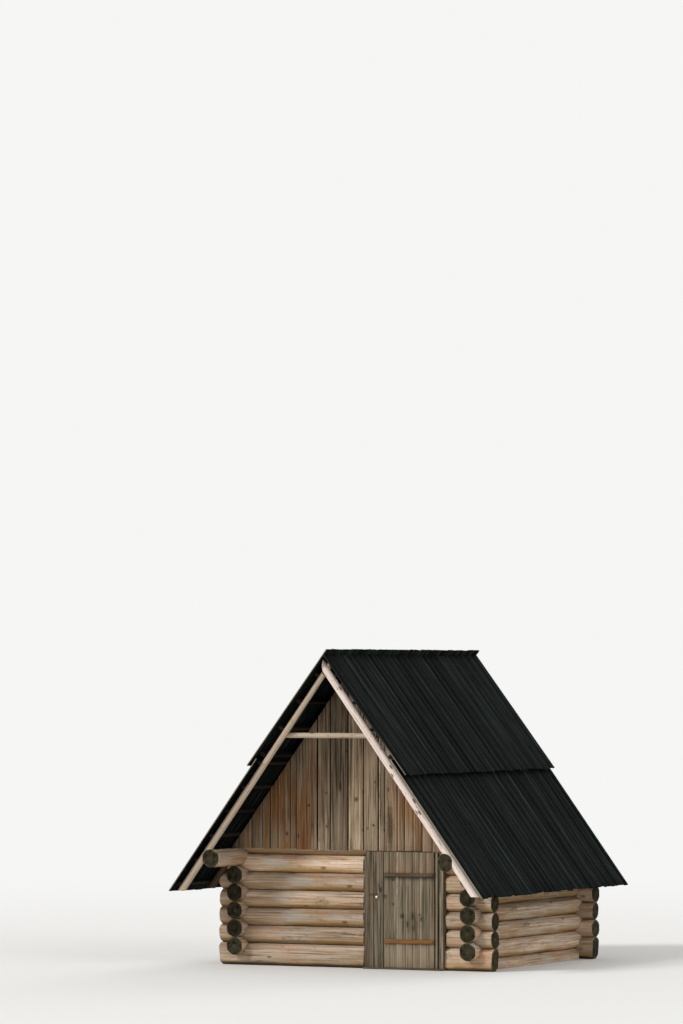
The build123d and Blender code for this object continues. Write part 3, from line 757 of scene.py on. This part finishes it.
def slope_of(node):
    """Down direction and outward normal of a course of roof boards."""
    bm = merged(node)
    edges = [e.verts[1].co - e.verts[0].co for e in bm.edges]
    bm.free()
    down = max((e for e in edges if abs(e.y) < WELD), key=lambda e: e.length).normalized()
    if down.z > 0:
        down = -down
    normal = down.cross(ALONG_Y)
    return down, normal if normal.z > 0 else -normal


def peeled(bm, axis, looks, draw):
    """Finishes one pole: true roundness, slight dips and its grain. The cuts stay as they are.

    The axis is the middle line's start, its direction, and the pole's radius there and per metre on.
    """
    start, along, radius, growth = axis
    up = (UPWARD - along * along.z).normalized()
    slice_round(bm, start, along, 0.0, 6, up)
    slice_along(bm, along, looks.step)
    seed = seed_of(draw)
    lay_grain(bm, start, along, up, draw.random(), drift_of(draw, 1))
    for face in bm.faces:
        if abs(face.normal.dot(along)) > 0.45:
            face.material_index = 1
    for v in bm.verts:
        arm = v.co - start
        station = arm.dot(along)
        out = arm - along * station
        true = radius + growth * station
        if out.length > SURFACE * true:
            wave, fine = wavy(seed, *v.co * 2.3), wavy(seed, *v.co * 11.0)
            dip = looks.unevenness * max(0.0, 0.5 + 0.45 * wave + 0.4 * fine)
            v.co -= out.normalized() * (out.length - true + dip)
    soften(bm, degrees=35)
    return bm


def sloping(node, course, tip, butt, looks, draw):
    """Finishes the poles whose upper lines lie along the slope of a course of boards."""
    down, normal = slope_of(course)
    found = []
    for one in solids_of(node):
        low, high = box_of(one)
        crossing = Vector((0, (low.y + high.y) / 2, (extent(one, normal)[1] - looks.rafter) / normal.z))
        growth = (butt - tip) / (looks.run + 2 * looks.sawn_off)
        start = crossing - down * looks.sawn_off + normal * (looks.rafter - tip)
        stop = crossing + down * (looks.run + looks.sawn_off) + normal * (looks.rafter - butt)
        found.append(peeled(one, (start, (stop - start).normalized(), tip, growth), looks, draw))
    return found


def level(node, looks):
    """Finishes the plain round pieces from one end's middle to the other's."""
    draw = random.Random(node)
    found = []
    for one in solids_of(node):
        ends = sorted(one.faces, key=lambda f: -len(f.verts))[:2]
        first, last = sorted((f.calc_center_median() for f in ends), key=lambda p: p.x)
        found.append(peeled(one, (first, (last - first).normalized(), looks.collar, 0.0), looks, draw))
    return found


def pole_wood(name, pale, fleck, knot):
    """Peeled, bleached pole with small dark knots and flecks of inner bark."""
    finish = Finish(name)
    fibre = finish.figure(3.0, 70.0, rough=0.65)
    patch = finish.span(finish.figure(1.6, 9.0, 5, 0.7), 0.50, 0.72, 0.0, 0.45)
    bark = finish.span(finish.figure(9.0, 34.0, 5, 0.7, 0.5), 0.58, 0.66, 0.0, 0.85)
    spot = finish.knots(finish.grain(4.0, 11.0), 0.24, 0.75)
    check = finish.span(finish.figure(0.7, 48.0, 2), 0.67, 0.70)
    worn = [0.5 * (a + b) for a, b in zip(pale, fleck)]
    wood = finish.tint(dim(pale, 0.80), (pale, finish.span(fibre, 0.3, 0.7)), (worn, patch), (fleck, bark),
                       (knot, spot, 0.85), (dim(knot, 0.5), check, 0.6))
    height = finish.total((fibre, 0.3), (spot, 1), (check, -1))
    return finish.close(finish.surface(wood, height, 0.002, finish.span(fibre, 0.2, 0.8, 0.78, 0.62)))


class CABIN_OT_front_poles(bpy.types.Operator):
    """Make the peeled pair of poles at the front edge of the roof, and their collar"""
    bl_idname = "cabin.front_poles"
    bl_label = "Front Poles"

    def execute(self, context):
        looks = context.scene.cabin_poles
        # One peeled wood in a sunlit and a shaded copy: painted light on the right pole, painted shade on
        # the left pole and the collar.
        sunlit_pole_wood = pole_wood("right_pole", looks.right_pale, looks.fleck, looks.knot)
        shaded_pole_wood = pole_wood("left_pole", looks.left_pale, looks.fleck, looks.knot)
        ends = end_grain("pole_end", looks.left_pale, looks.fleck)
        pair = (("left", looks.left_tip, looks.left_butt, shaded_pole_wood),
                ("right", looks.right_tip, looks.right_butt, sunlit_pole_wood))
        for side, tip, butt, wood in pair:
            node = f"front_{side}_pole"
            solids = sloping(node, side + "_lower_roof_boards", tip, butt, looks, random.Random(node))
            deliver(node + "_peeled", solids, (wood, ends), BODY_HOUSE, "pole", node)
        deliver("front_collar_peeled", level("front_collar", looks), (shaded_pole_wood, ends), BODY_HOUSE, "pole",
                "front_collar")
        return {"FINISHED"}


class CABIN_OT_rafters(bpy.types.Operator):
    """Make the rafters behind the front poles, their collars and the battens"""
    bl_idname = "cabin.rafters"
    bl_label = "Rafters and Battens"

    def execute(self, context):
        looks = context.scene.cabin_poles
        # Dark colours paint the shade under the roof on the rafters and the battens.
        pale, deep = looks.rafter_pale, looks.rafter_deep
        wood = timber("rafter", pale, deep, looks.fleck, knot_share=0.4, knot_size=0.15,
                      knot_place=(5.0, 13.0))
        ends = end_grain("rafter_end", pale, deep)
        batten = timber("batten", looks.batten_pale, looks.batten_deep, deep, knot_share=0.3)
        for side in ("left", "right"):
            node = side + "_rafters"
            draw = random.Random(node)
            solids = sloping(node, side + "_lower_roof_boards", looks.rafter, looks.rafter, looks, draw)
            deliver(node + "_peeled", solids, (wood, ends), BODY_HOUSE, "rafter", node)
            node = side + "_battens"
            solids = planks(node, ALONG_Y, draw, edge=0.004, step=0.45, warp=0.003)
            deliver(node + "_sawn", solids, (batten,), BODY_HOUSE, "rafter", node)
        deliver("rafter_collars_peeled", level("rafter_collars", looks), (wood, ends), BODY_HOUSE, "rafter",
                "rafter_collars")
        return {"FINISHED"}


# Boards

def planks(node, along, draw, edge, step, warp, tone=None, out=UPWARD):
    """Finishes boards or beams: worn edges, slight warp inwards and grain. Out is the side that shows."""
    solids = solids_of(node)
    for bm in solids:
        middle = sum(box_of(bm), Vector()) / 2
        wear_edges(bm, edge)
        slice_at(bm, middle, out.cross(along))
        slice_along(bm, along, step)
        drift = drift_of(draw)
        lay_grain(bm, middle, along, out, draw.random() if tone is None else tone, drift)
        seed = seed_of(draw)
        for v in bm.verts:
            inward = middle - v.co
            inward -= along * inward.dot(along)
            shift = warp * (0.5 + 0.5 * wavy(seed, *v.co * 2.6))
            v.co += inward.normalized() * max(0.0, shift)
        soften(bm, degrees=50)
    return solids


def boards_from(node, along, across, out, joints, draw, tones, edge_highlight, step, edge, thin, ragged=0.0,
                top_ragged=0.0, drop=0.0, lean=0.0012):
    """Saws a node's slab into single boards at the joints, which are pairs of a place and a gap's width.

    Along points to the ends that are ragged, and out is the side that shows. Each board takes its tone and
    how clear the painted highlight beside its first edge is from the lists. The boards lie lower by up to
    the drop, and lean by chance. The slab's outer edges are the second material.
    """
    made = []
    slab = merged(node)
    first, last = extent(slab, across)
    low, high = extent(slab, along)
    edges = [(first - 1, 0), *joints, (last + 1, 0)]
    for number, ((start, start_gap), (stop, stop_gap)) in enumerate(zip(edges, edges[1:])):
        one = slab.copy()
        leaning = 0.0 if number in (0, len(joints)) else draw.uniform(-lean, lean)
        saw_off(one, across * (start + start_gap / 2), -across)
        saw_off(one, across * (stop - stop_gap / 2), across)
        middle = across * (max(start, first) + min(stop, last)) / 2
        if ragged:
            cut = along + across * draw.uniform(-0.05, 0.05)
            saw_off(one, middle + along * (high - ragged * draw.uniform(0.15, 1.0) ** 1.6), cut)
        if top_ragged:
            cut = -along + across * draw.uniform(-0.05, 0.05)
            saw_off(one, middle + along * (low + top_ragged * draw.uniform(0.15, 1.0)), cut)
        bmesh.ops.recalc_face_normals(one, faces=one.faces)
        wear_edges(one, edge)
        mark_ends(one, across, first, last)
        centre = sum((v.co for v in one.verts), Vector()) / len(one.verts)
        left, right = extent(one, across)
        slice_at(one, across * (right + left) / 2, across)
        slice_along(one, along, step)
        lay_grain(one, centre, along, out, tones[number], drift_of(draw), edge_highlight[number])
        seed = seed_of(draw)
        back, face = extent(one, out)
        sunk = thin * draw.uniform(0.0, 1.0) + drop * draw.choice((0.0, 0.0, 0.5, 1.0))
        cup = thin * draw.uniform(0.0, 0.8)
        for v in one.verts:
            share = (v.co.dot(out) - back) / (face - back)
            across_share = (v.co - centre).dot(across) / max((right - left) / 2, 0.001)
            bow = thin * 0.5 * (0.5 + 0.5 * wavy(seed, *along * v.co.dot(along) * 1.1))
            v.co -= out * share * (sunk + bow + cup * (1 - across_share ** 2))
            v.co += across * leaning * (v.co - centre).dot(along)
        soften(one, degrees=50)
        made.append(one)
    slab.free()
    return made


def warm_corners(looks, finish, wood):
    """Orange-brown wood that the eaves have sheltered, and a grey stain beside the right seam."""
    x, _, z = finish.parts(finish.place())
    warm = finish.product(finish.span(finish.maths("ABSOLUTE", x), 0.50, 1.00), finish.span(z, 3.6, 2.9),
                          finish.span(finish.figure(0.8, 9.0), 0.34, 0.60))
    streak = finish.span(finish.figure(0.7, 24.0, 3), 0.52, 0.64)
    bleached_and_highlit = finish.span(finish.figure(0.5, 2.0, 3), 0.45, 0.62, 0.0, 0.5)
    return finish.tint(wood, (looks.gable_warm, warm, 0.8), (looks.gable_rust, warm, streak),
                       (looks.gable_pale, bleached_and_highlit, finish.span(z, 2.5, 2.1)),
                       (dim(looks.gable_deep, 0.65), finish.marks((0.66, 2.30, 0.14, 0.85)), 0.75))


def streaked(looks, finish, wood):
    """Grey streaks down the slope that fade in and out, and a little moss."""
    streak = finish.span(finish.figure(0.35, 22.0, rough=0.65), 0.50, 0.68)
    fading = finish.span(finish.figure(0.9, 1.6, 3), 0.38, 0.62, 0.1, 0.95)
    moss = finish.span(finish.figure(2.4, 5.0, 6, 0.75), 0.56, 0.70, 0.0, 0.45)
    return finish.tint(wood, (looks.roof_pale, streak, fading), (looks.roof_moss, moss))


def sooty(looks, finish, wood):
    """The edge turns to the roof's usual grey between 3.35 and 3.95 m up."""
    high_up = finish.span(finish.parts(finish.place())[2], 3.35, 3.95, 0.0, 0.93)
    return finish.tint(wood, (looks.roof_mid, high_up))


class CABIN_OT_gables(bpy.types.Operator):
    """Make the upright boards of both gables"""
    bl_idname = "cabin.gables"
    bl_label = "Gable Boards"

    def execute(self, context):
        looks = context.scene.cabin_boards
        knots = ((0.066, 2.724, 0.085, 0.10), (0.183, 2.849, 0.04, 0.07), (0.183, 2.23, 0.05, 0.08),
                 (0.363, 2.309, 0.055, 0.06), (0.268, 2.26, 0.035, 0.05), (-0.233, 2.93, 0.05, 0.22),
                 (-0.479, 2.823, 0.04, 0.05), (-0.478, 2.278, 0.04, 0.05), (-0.618, 2.066, 0.05, 0.14),
                 (-0.994, 2.118, 0.05, 0.10), (-1.198, 2.153, 0.06, 0.09), (0.564, 2.236, 0.04, 0.06),
                 (0.395, 3.003, 0.03, 0.05), (-0.80, 2.62, 0.045, 0.06))
        wood = timber("gable_board", looks.gable_pale, looks.gable_deep, looks.gable_warm, stained=0.22,
                      knot_share=0.2, knot_place=(1.9, 8.0), contrast=1.15, spots=knots, seam_shade=0.85,
                      lit=0.9, tones=(0.62, 1.62), extra=partial(warm_corners, looks))
        iron = rust("gable_nail", shade(34, 28, 22), shade(84, 58, 38))
        seams = {-0.64: 0.020, -0.41: 0.012, -0.09: 0.020, 0.193: 0.009, 0.458: 0.016}
        places = (-2.08, -1.84, -1.64, -1.50, -1.36, -1.133, -1.026, -0.64, -0.41, -0.09, 0.193, 0.458,
                  0.575, 0.797, 0.93, 1.08, 1.24, 1.42, 1.61, 1.86, 2.09)
        tones = (0.26, 0.34, 0.24, 0.32, 0.28, 0.42, 0.25, 0.42, 0.44, 0.22, 1.0, 0.54, 0.36, 0.44, 0.32,
                 0.40, 0.25, 0.33, 0.28, 0.36, 0.25, 0.32)
        # How clearly each board shows its painted highlight beside its first edge
        edge_highlight = (0.2, 0.3, 0.2, 0.5, 0.3, 0.6, 0.4, 0.3, 0.9, 0.2, 0.7, 0.4, 0.8, 0.3, 0.5, 0.4, 0.5, 0.3,
                 0.4, 0.3, 0.2, 0.2)
        for node, out in (("front_gable_boards", FRONT), ("rear_gable_boards", ALONG_Y)):
            draw = random.Random(node)
            mirror = -1 if out.y > 0 else 1
            joints = sorted((mirror * x, seams.get(x, looks.gable_gap * draw.uniform(0.5, 1.3)))
                            for x in places)
            solids = boards_from(node, -UPWARD, ALONG_X, out, joints, draw, tones[::mirror], edge_highlight[::mirror],
                                 0.25, looks.edge, 0.005, ragged=looks.gable_ragged)
            rows = (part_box(node)[0].z + 0.06, 2.31, 3.02, 3.9)
            spots = nail_spots([x for x, _ in joints], rows, 0.22, ALONG_X, UPWARD, draw, 0.008, 0.02)
            solids.append(nail_heads(spots, out, solids, looks.nail, 2))
            deliver(node + "_sawn", solids, (wood, wood, iron), BODY_HOUSE, "gable_board", node)
        return {"FINISHED"}


class CABIN_OT_roof_boards(bpy.types.Operator):
    """Make the boards of both courses on both slopes"""
    bl_idname = "cabin.roof_boards"
    bl_label = "Roof Boards"

    def execute(self, context):
        looks = context.scene.cabin_boards
        dark = looks.roof_dark
        wood = timber("roof_board", looks.roof_mid, dark, dim(dark, 0.7), stained=0.5, knot_share=0.2,
                      extra=partial(streaked, looks), depth=0.0025, contrast=1.3, seam_shade=0.35, lit=0.8,
                      highlight_tint=dim(looks.roof_pale, 1.5), gloss=0.03, tones=(0.35, 1.35))
        # The outer edges of the end boards are pale as a painted highlight.
        bleached_and_highlit = (looks.roof_rim, dim(looks.roof_rim, 0.6), dark)
        rims = {"left": timber("left_roof_edge_highlight", *bleached_and_highlit, stained=0.25),
                "right": timber("right_roof_edge_highlight", *bleached_and_highlit, stained=0.25, extra=partial(sooty, looks))}
        iron = rust("roof_nail", shade(26, 24, 22), shade(64, 48, 36))
        seen_joints = (-2.72, -2.53, -2.36, -2.11, -1.89, -1.66, -1.48, -1.30, -1.11, -0.97, -0.76, -0.49,
                       -0.29, -0.08)
        unseen_from = 0.13
        low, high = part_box("right_lower_roof_boards")
        for course in ("left_upper", "left_lower", "right_upper", "right_lower"):
            node = course + "_roof_boards"
            draw = random.Random(node)
            down, normal = slope_of(node)
            joints, place = [], low.y + looks.roof_width * draw.uniform(0.9, 1.1)
            if course == "right_upper":
                joints = [(y, looks.roof_gap) for y in seen_joints]
                place = unseen_from
            while place < high.y - 0.6 * looks.roof_width:
                joints.append((place, looks.roof_gap * draw.uniform(0.5, 1.6)))
                place += looks.roof_width * draw.uniform(0.55, 1.5)
            tones = [draw.uniform(0.28, 1.0) for _ in range(len(joints) + 1)]
            # How clearly each board shows its painted highlight beside its first edge
            edge_highlight = [draw.random() ** 3 for _ in tones]
            # On the near course the first board is darkened as painted shade, and the second shows its full
            # painted highlight.
            if course == "right_upper":
                tones[0], edge_highlight[1] = 0.05, 1.0
            top = looks.ridge_ragged if course == "left_upper" else 0.0
            solids = boards_from(node, down, ALONG_Y, normal, joints, draw, tones, edge_highlight, 0.22, looks.edge,
                                 0.003, looks.roof_ragged, top, looks.roof_step, lean=0.0)
            ends = [end for one in solids for end in extent(one, down)]
            rows = [min(ends) + (max(ends) - min(ends)) * share for share in (0.16, 0.5, 0.84)]
            spots = nail_spots([y for y, _ in joints], rows, 0.25, ALONG_Y, down, draw, astray=0.01)
            solids.append(nail_heads(spots, normal, solids, looks.nail, 2))
            materials = (wood, rims[course.split("_")[0]], iron)
            deliver(node + "_sawn", solids, materials, BODY_HOUSE, "roof_board", node)
        return {"FINISHED"}


# Doorway and door

def rust_run(looks, finish, wood):
    """A rusty run below the hasp."""
    run = finish.marks((0.364, 0.99, 0.045, 0.34), (0.40, 1.165, 0.07, 0.06))
    return finish.tint(wood, (looks.rust_bright, run, 0.55))


def weathered(looks, finish, wood):
    """Brown above the upper ledge, a painted shadow under it, a stain round the knots and a pale foot."""
    upper_foot, upper_top = (corner.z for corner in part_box("upper_door_ledge"))
    z = finish.parts(finish.place())[2]
    cloud = finish.figure(1.6, 8.0)
    above = finish.product(finish.span(z, upper_top, upper_top + 0.30, 0.75, 0.25),
                           finish.maths("GREATER_THAN", z, upper_top))
    foot = finish.product(finish.span(z, 0.46, 0.30), finish.span(cloud, 0.3, 0.6))
    # Painted shadow under the upper ledge.
    shade_under_ledge = finish.product(finish.span(z, upper_foot - 0.09, upper_foot - 0.01),
                          finish.maths("LESS_THAN", z, upper_foot))
    return finish.tint(wood, (looks.warm, above, finish.span(cloud, 0.35, 0.6)), (looks.foot, foot, 0.6),
                       (dim(looks.deep, 0.4), shade_under_ledge, 0.6),
                       (dim(looks.deep, 0.8), finish.marks((1.05, 0.74, 0.36, 0.42)), 0.38))


class CABIN_OT_doorway(bpy.types.Operator):
    """Make the jambs, the threshold and the fixed boards beside the leaf"""
    bl_idname = "cabin.doorway"
    bl_label = "Doorway"

    def execute(self, context):
        looks = context.scene.cabin_door
        shaded = (dim(looks.pale, 0.85), dim(looks.deep, 0.8), looks.warm)
        wood = timber("door_board", looks.pale, looks.deep, looks.warm, stained=0.45, knot_share=0.3,
                      knot_place=(3.0, 11.0), contrast=1.3, seam_shade=0.7, lit=0.7)
        fixed = timber("fixed_board", *shaded, stained=0.4, knot_share=0.3, knot_place=(3.0, 11.0),
                       contrast=1.5, spots=((0.496, 1.275, 0.07, 0.11), (0.47, 1.33, 0.03, 0.16)),
                       seam_shade=0.8, lit=0.8, tones=(0.75, 1.15), extra=partial(rust_run, looks))
        post = timber("post", *shaded, stained=0.4)
        iron = rust("fixed_nail", looks.rust_dark, looks.rust_bright)
        pieces = {
            "threshold": (ALONG_X, wood, "door_board", 0.5, UPWARD),
            "left_jamb": (UPWARD, post, "post", 0.3, FRONT),
            "right_jamb": (UPWARD, post, "post", 0.4, FRONT),
            "door_side_boards": (UPWARD, fixed, "door_board", None, FRONT),
            "hinge_stile": (UPWARD, wood, "door_board", 0.35, FRONT),
            "jamb_cover_board": (UPWARD, wood, "door_board", 0.8, FRONT),
        }
        rows = (0.12, 0.62, 1.10, 1.62)
        for node, (along, material, slot, tone, out) in pieces.items():
            draw = random.Random(node)
            solids = planks(node, along, draw, looks.edge, 0.2, 0.0015, tone, out)
            if node in ("door_side_boards", "jamb_cover_board"):
                spots = []
                for one in solids:
                    spots += nail_spots(extent(one, ALONG_X), rows, 0.22, ALONG_X, UPWARD)
                solids.append(nail_heads(spots, out, solids, looks.nail, 1))
            deliver(node + "_sawn", solids, (material, iron), BODY_HOUSE, slot, node)
        return {"FINISHED"}


class CABIN_OT_door_leaf(bpy.types.Operator):
    """Make the boards of the door leaf and its two ledges"""
    bl_idname = "cabin.door_leaf"
    bl_label = "Door Leaf"

    def execute(self, context):
        looks = context.scene.cabin_door
        knots = ((0.888, 0.86, 0.09, 0.10), (0.725, 1.047, 0.05, 0.07), (1.08, 0.862, 0.055, 0.17),
                 (0.981, 0.726, 0.055, 0.13), (1.204, 0.887, 0.05, 0.06), (1.228, 0.821, 0.06, 0.09),
                 (1.088, 0.67, 0.04, 0.12), (0.72, 1.44, 0.07, 0.06))
        wood = timber("leaf_board", looks.pale, looks.deep, looks.warm, stained=0.35, knot_share=0.15,
                      knot_place=(3.2, 12.0), contrast=1.25, spots=knots, seam_shade=0.3, lit=0.95,
                      tones=(0.78, 1.16), extra=partial(weathered, looks))
        iron = rust("door_nail", looks.rust_dark, looks.rust_bright)
        places = (0.668, 0.785, 0.949, 1.072, 1.204, 1.319)
        joints = [(x, looks.gap * share) for x, share in zip(places, (0.3, 0.5, 0.25, 1.3, 0.35, 0.6))]
        tones = (0.45, 0.50, 0.70, 0.60, 0.5, 0.66, 0.42)
        # How clearly each board shows its painted highlight beside its first edge
        edge_highlight = (0.1, 0.15, 1.0, 0.1, 0.1, 0.45, 0.2)
        solids = boards_from("door_leaf", -UPWARD, ALONG_X, FRONT, joints, random.Random("door_leaf"), tones,
                             edge_highlight, 0.18, looks.edge * 0.7, 0.003)
        deliver("door_leaf_boards", solids, (wood, wood), BODY_DOOR, "door_board", "door_leaf")
        for node, pale in (("upper_door_ledge", looks.upper_ledge), ("lower_door_ledge", looks.lower_ledge)):
            ledge = timber(node, pale, dim(pale, 0.5), looks.pale, stained=0.35, seam_shade=0.5, contrast=1.5)
            draw = random.Random(node)
            solids = planks(node, ALONG_X, draw, looks.edge, 0.12, 0.0015, 0.5, FRONT)
            low, high = box_of(solids[0])
            spots = nail_spots((low.x, *places, high.x), ((low.z + high.z) / 2,), 0.3, ALONG_X, UPWARD, draw,
                               astray=0.2 * (high.z - low.z))
            solids.append(nail_heads(spots, FRONT, solids, looks.nail, 1))
            deliver(node + "_sawn", solids, (ledge, iron), BODY_DOOR, "ledge", node)
        return {"FINISHED"}


class CABIN_OT_ironwork(bpy.types.Operator):
    """Give the hinges, the hasp, the ring and the padlock their finish"""
    bl_idname = "cabin.ironwork"
    bl_label = "Ironwork"

    def execute(self, context):
        looks = context.scene.cabin_door
        iron = rust("rusty_iron", looks.rust_dark, looks.rust_bright)
        steel = worn_steel("padlock_steel", looks.steel, looks.rust_dark)
        pieces = {
            "door_hinges": (BODY_DOOR, iron, "rusty_iron", 0.0008),
            "frame_hinges": (BODY_HOUSE, iron, "rusty_iron", 0.0008),
            "hasp": (BODY_HOUSE, iron, "rusty_iron", 0.001),
            "door_ring": (BODY_DOOR, iron, "rusty_iron", 0.0006),
            "padlock": (BODY_HOUSE, steel, "padlock_steel", 0.0015),
        }
        for node, (body, material, slot, edge) in pieces.items():
            bm = merged(node)
            wear_edges(bm, edge, 0.9)
            soften(bm, degrees=48)
            deliver(node + "_worn", [bm], (material,), body, slot, node)
        return {"FINISHED"}


# Stage

def bearing(azimuth, elevation):
    """Direction that lies so far round to the right from the front, and so far up."""
    return Vector((math.sin(azimuth) * math.cos(elevation), -math.cos(azimuth) * math.cos(elevation),
                   math.sin(elevation)))


class CABIN_OT_stage(bpy.types.Operator):
    """Set the camera, the light and the floor"""
    bl_idname = "cabin.stage"
    bl_label = "Stage"

    def execute(self, context):
        looks = context.scene.cabin_stage
        scene = context.scene
        scene.view_settings.view_transform = "Standard"
        turn = looks.azimuth + looks.yaw
        ahead = -bearing(turn, looks.elevation - looks.pitch)
        right = Vector((math.cos(turn), math.sin(turn), 0))
        camera = bpy.data.objects.new("camera", bpy.data.cameras.new("camera"))
        camera.data.lens = looks.lens
        camera.data.sensor_width = 36.0
        camera.data.clip_end = 1000.0
        view_middle = Vector((0, -1.0, 2.2))
        place = view_middle + bearing(looks.azimuth, looks.elevation) * looks.distance
        turned = Matrix((right, right.cross(ahead), -ahead)).transposed().to_4x4()
        camera.matrix_world = Matrix.Translation(place) @ turned
        scene.collection.objects.link(camera)
        scene.camera = camera
        for name, strength, spread, toward in (("key_light", looks.key, 14.0, (-0.52, -0.70, 0.62)),
                                               ("fill_light", looks.key * 0.30, 30.0, (0.85, -0.25, 0.45)),
                                               ("back_light", looks.key * 0.25, 30.0, (0.1, 0.9, 0.5))):
            lamp = bpy.data.lights.new(name, "SUN")
            lamp.energy = strength
            lamp.angle = math.radians(spread)
            holder = bpy.data.objects.new(name, lamp)
            holder.rotation_euler = Vector(toward).to_track_quat("Z", "Y").to_euler()
            scene.collection.objects.link(holder)
        scene.world = self.light_all_round(looks)
        self.lay_floor(scene, looks)
        return {"FINISHED"}

    def light_all_round(self, looks):
        """Even light, and a pale background for the camera, gloss and glass."""
        finish = Finish("daylight", "worlds")
        rays = finish.add("LightPath").outputs
        seen = finish.maths("MAXIMUM", rays["Is Camera Ray"], rays["Is Glossy Ray"])
        seen = finish.maths("MAXIMUM", seen, rays["Is Transmission Ray"])
        even = finish.add("Background", {"Color": (1, 1, 1), "Strength": looks.daylight}).outputs[0]
        behind = finish.add("Background", {"Color": looks.background}).outputs[0]
        shown = finish.add("MixShader", {0: seen, 1: even, 2: behind}).outputs[0]
        return finish.close(shown, "World")

    def lay_floor(self, scene, looks):
        """A wide pale floor that goes over into the background far out."""
        bm = bmesh.new()
        bmesh.ops.create_circle(bm, cap_ends=True, segments=96, radius=looks.floor_radius)
        bmesh.ops.translate(bm, verts=bm.verts, vec=(0, 0, -looks.floor_depth))
        mesh = bpy.data.meshes.new("floor")
        bm.to_mesh(mesh)
        bm.free()
        finish = Finish("floor")
        cloud = finish.noise(finish.place(), 3, scale=0.6)
        pale = finish.tint(dim(looks.floor, 0.985), (looks.floor, cloud))
        near = finish.surface(pale, cloud, 0.0005, 0.9)
        beyond = finish.add("Emission", {"Color": looks.background}).outputs[0]
        far = finish.product(finish.span(finish.reach(finish.place()), looks.fade_from, looks.fade_to),
                             finish.add("LightPath").outputs["Is Camera Ray"])
        shown = finish.add("MixShader", {0: far, 1: near, 2: beyond}).outputs[0]
        mesh.materials.append(finish.close(shown))
        floor = bpy.data.objects.new("floor", mesh)
        scene.collection.objects.link(floor)


class CABIN_PT_panel(bpy.types.Panel):
    """The cabin's steps in the sidebar"""
    bl_idname = "CABIN_PT_panel"
    bl_label = "Log Cabin"
    bl_space_type = "VIEW_3D"
    bl_region_type = "UI"
    bl_category = "Cabin"

    def draw(self, context):
        for operator in operators:
            self.layout.operator(operator.bl_idname)


operators = (CABIN_OT_stage, CABIN_OT_wall_logs, CABIN_OT_front_poles, CABIN_OT_rafters, CABIN_OT_gables,
             CABIN_OT_roof_boards, CABIN_OT_doorway, CABIN_OT_door_leaf, CABIN_OT_ironwork)
groups = {"cabin_logs": LogLooks, "cabin_poles": PoleLooks, "cabin_boards": BoardLooks,
          "cabin_door": DoorLooks, "cabin_stage": StageLooks}


def register():
    """Registers the property groups, the operators and the panel."""
    for kind in (*groups.values(), *operators, CABIN_PT_panel):
        bpy.utils.register_class(kind)
    for name, group in groups.items():
        setattr(bpy.types.Scene, name, PointerProperty(type=group))


def unregister():
    """Takes them out again."""
    for name in groups:
        delattr(bpy.types.Scene, name)
    for kind in (CABIN_PT_panel, *operators, *groups.values()):
        bpy.utils.unregister_class(kind)


def main():
    """Makes every piece in order."""
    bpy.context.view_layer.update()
    register()
    for operator in operators:
        group, step = operator.bl_idname.split(".")
        getattr(getattr(bpy.ops, group), step)()


if __name__ == "__main__":
    main()
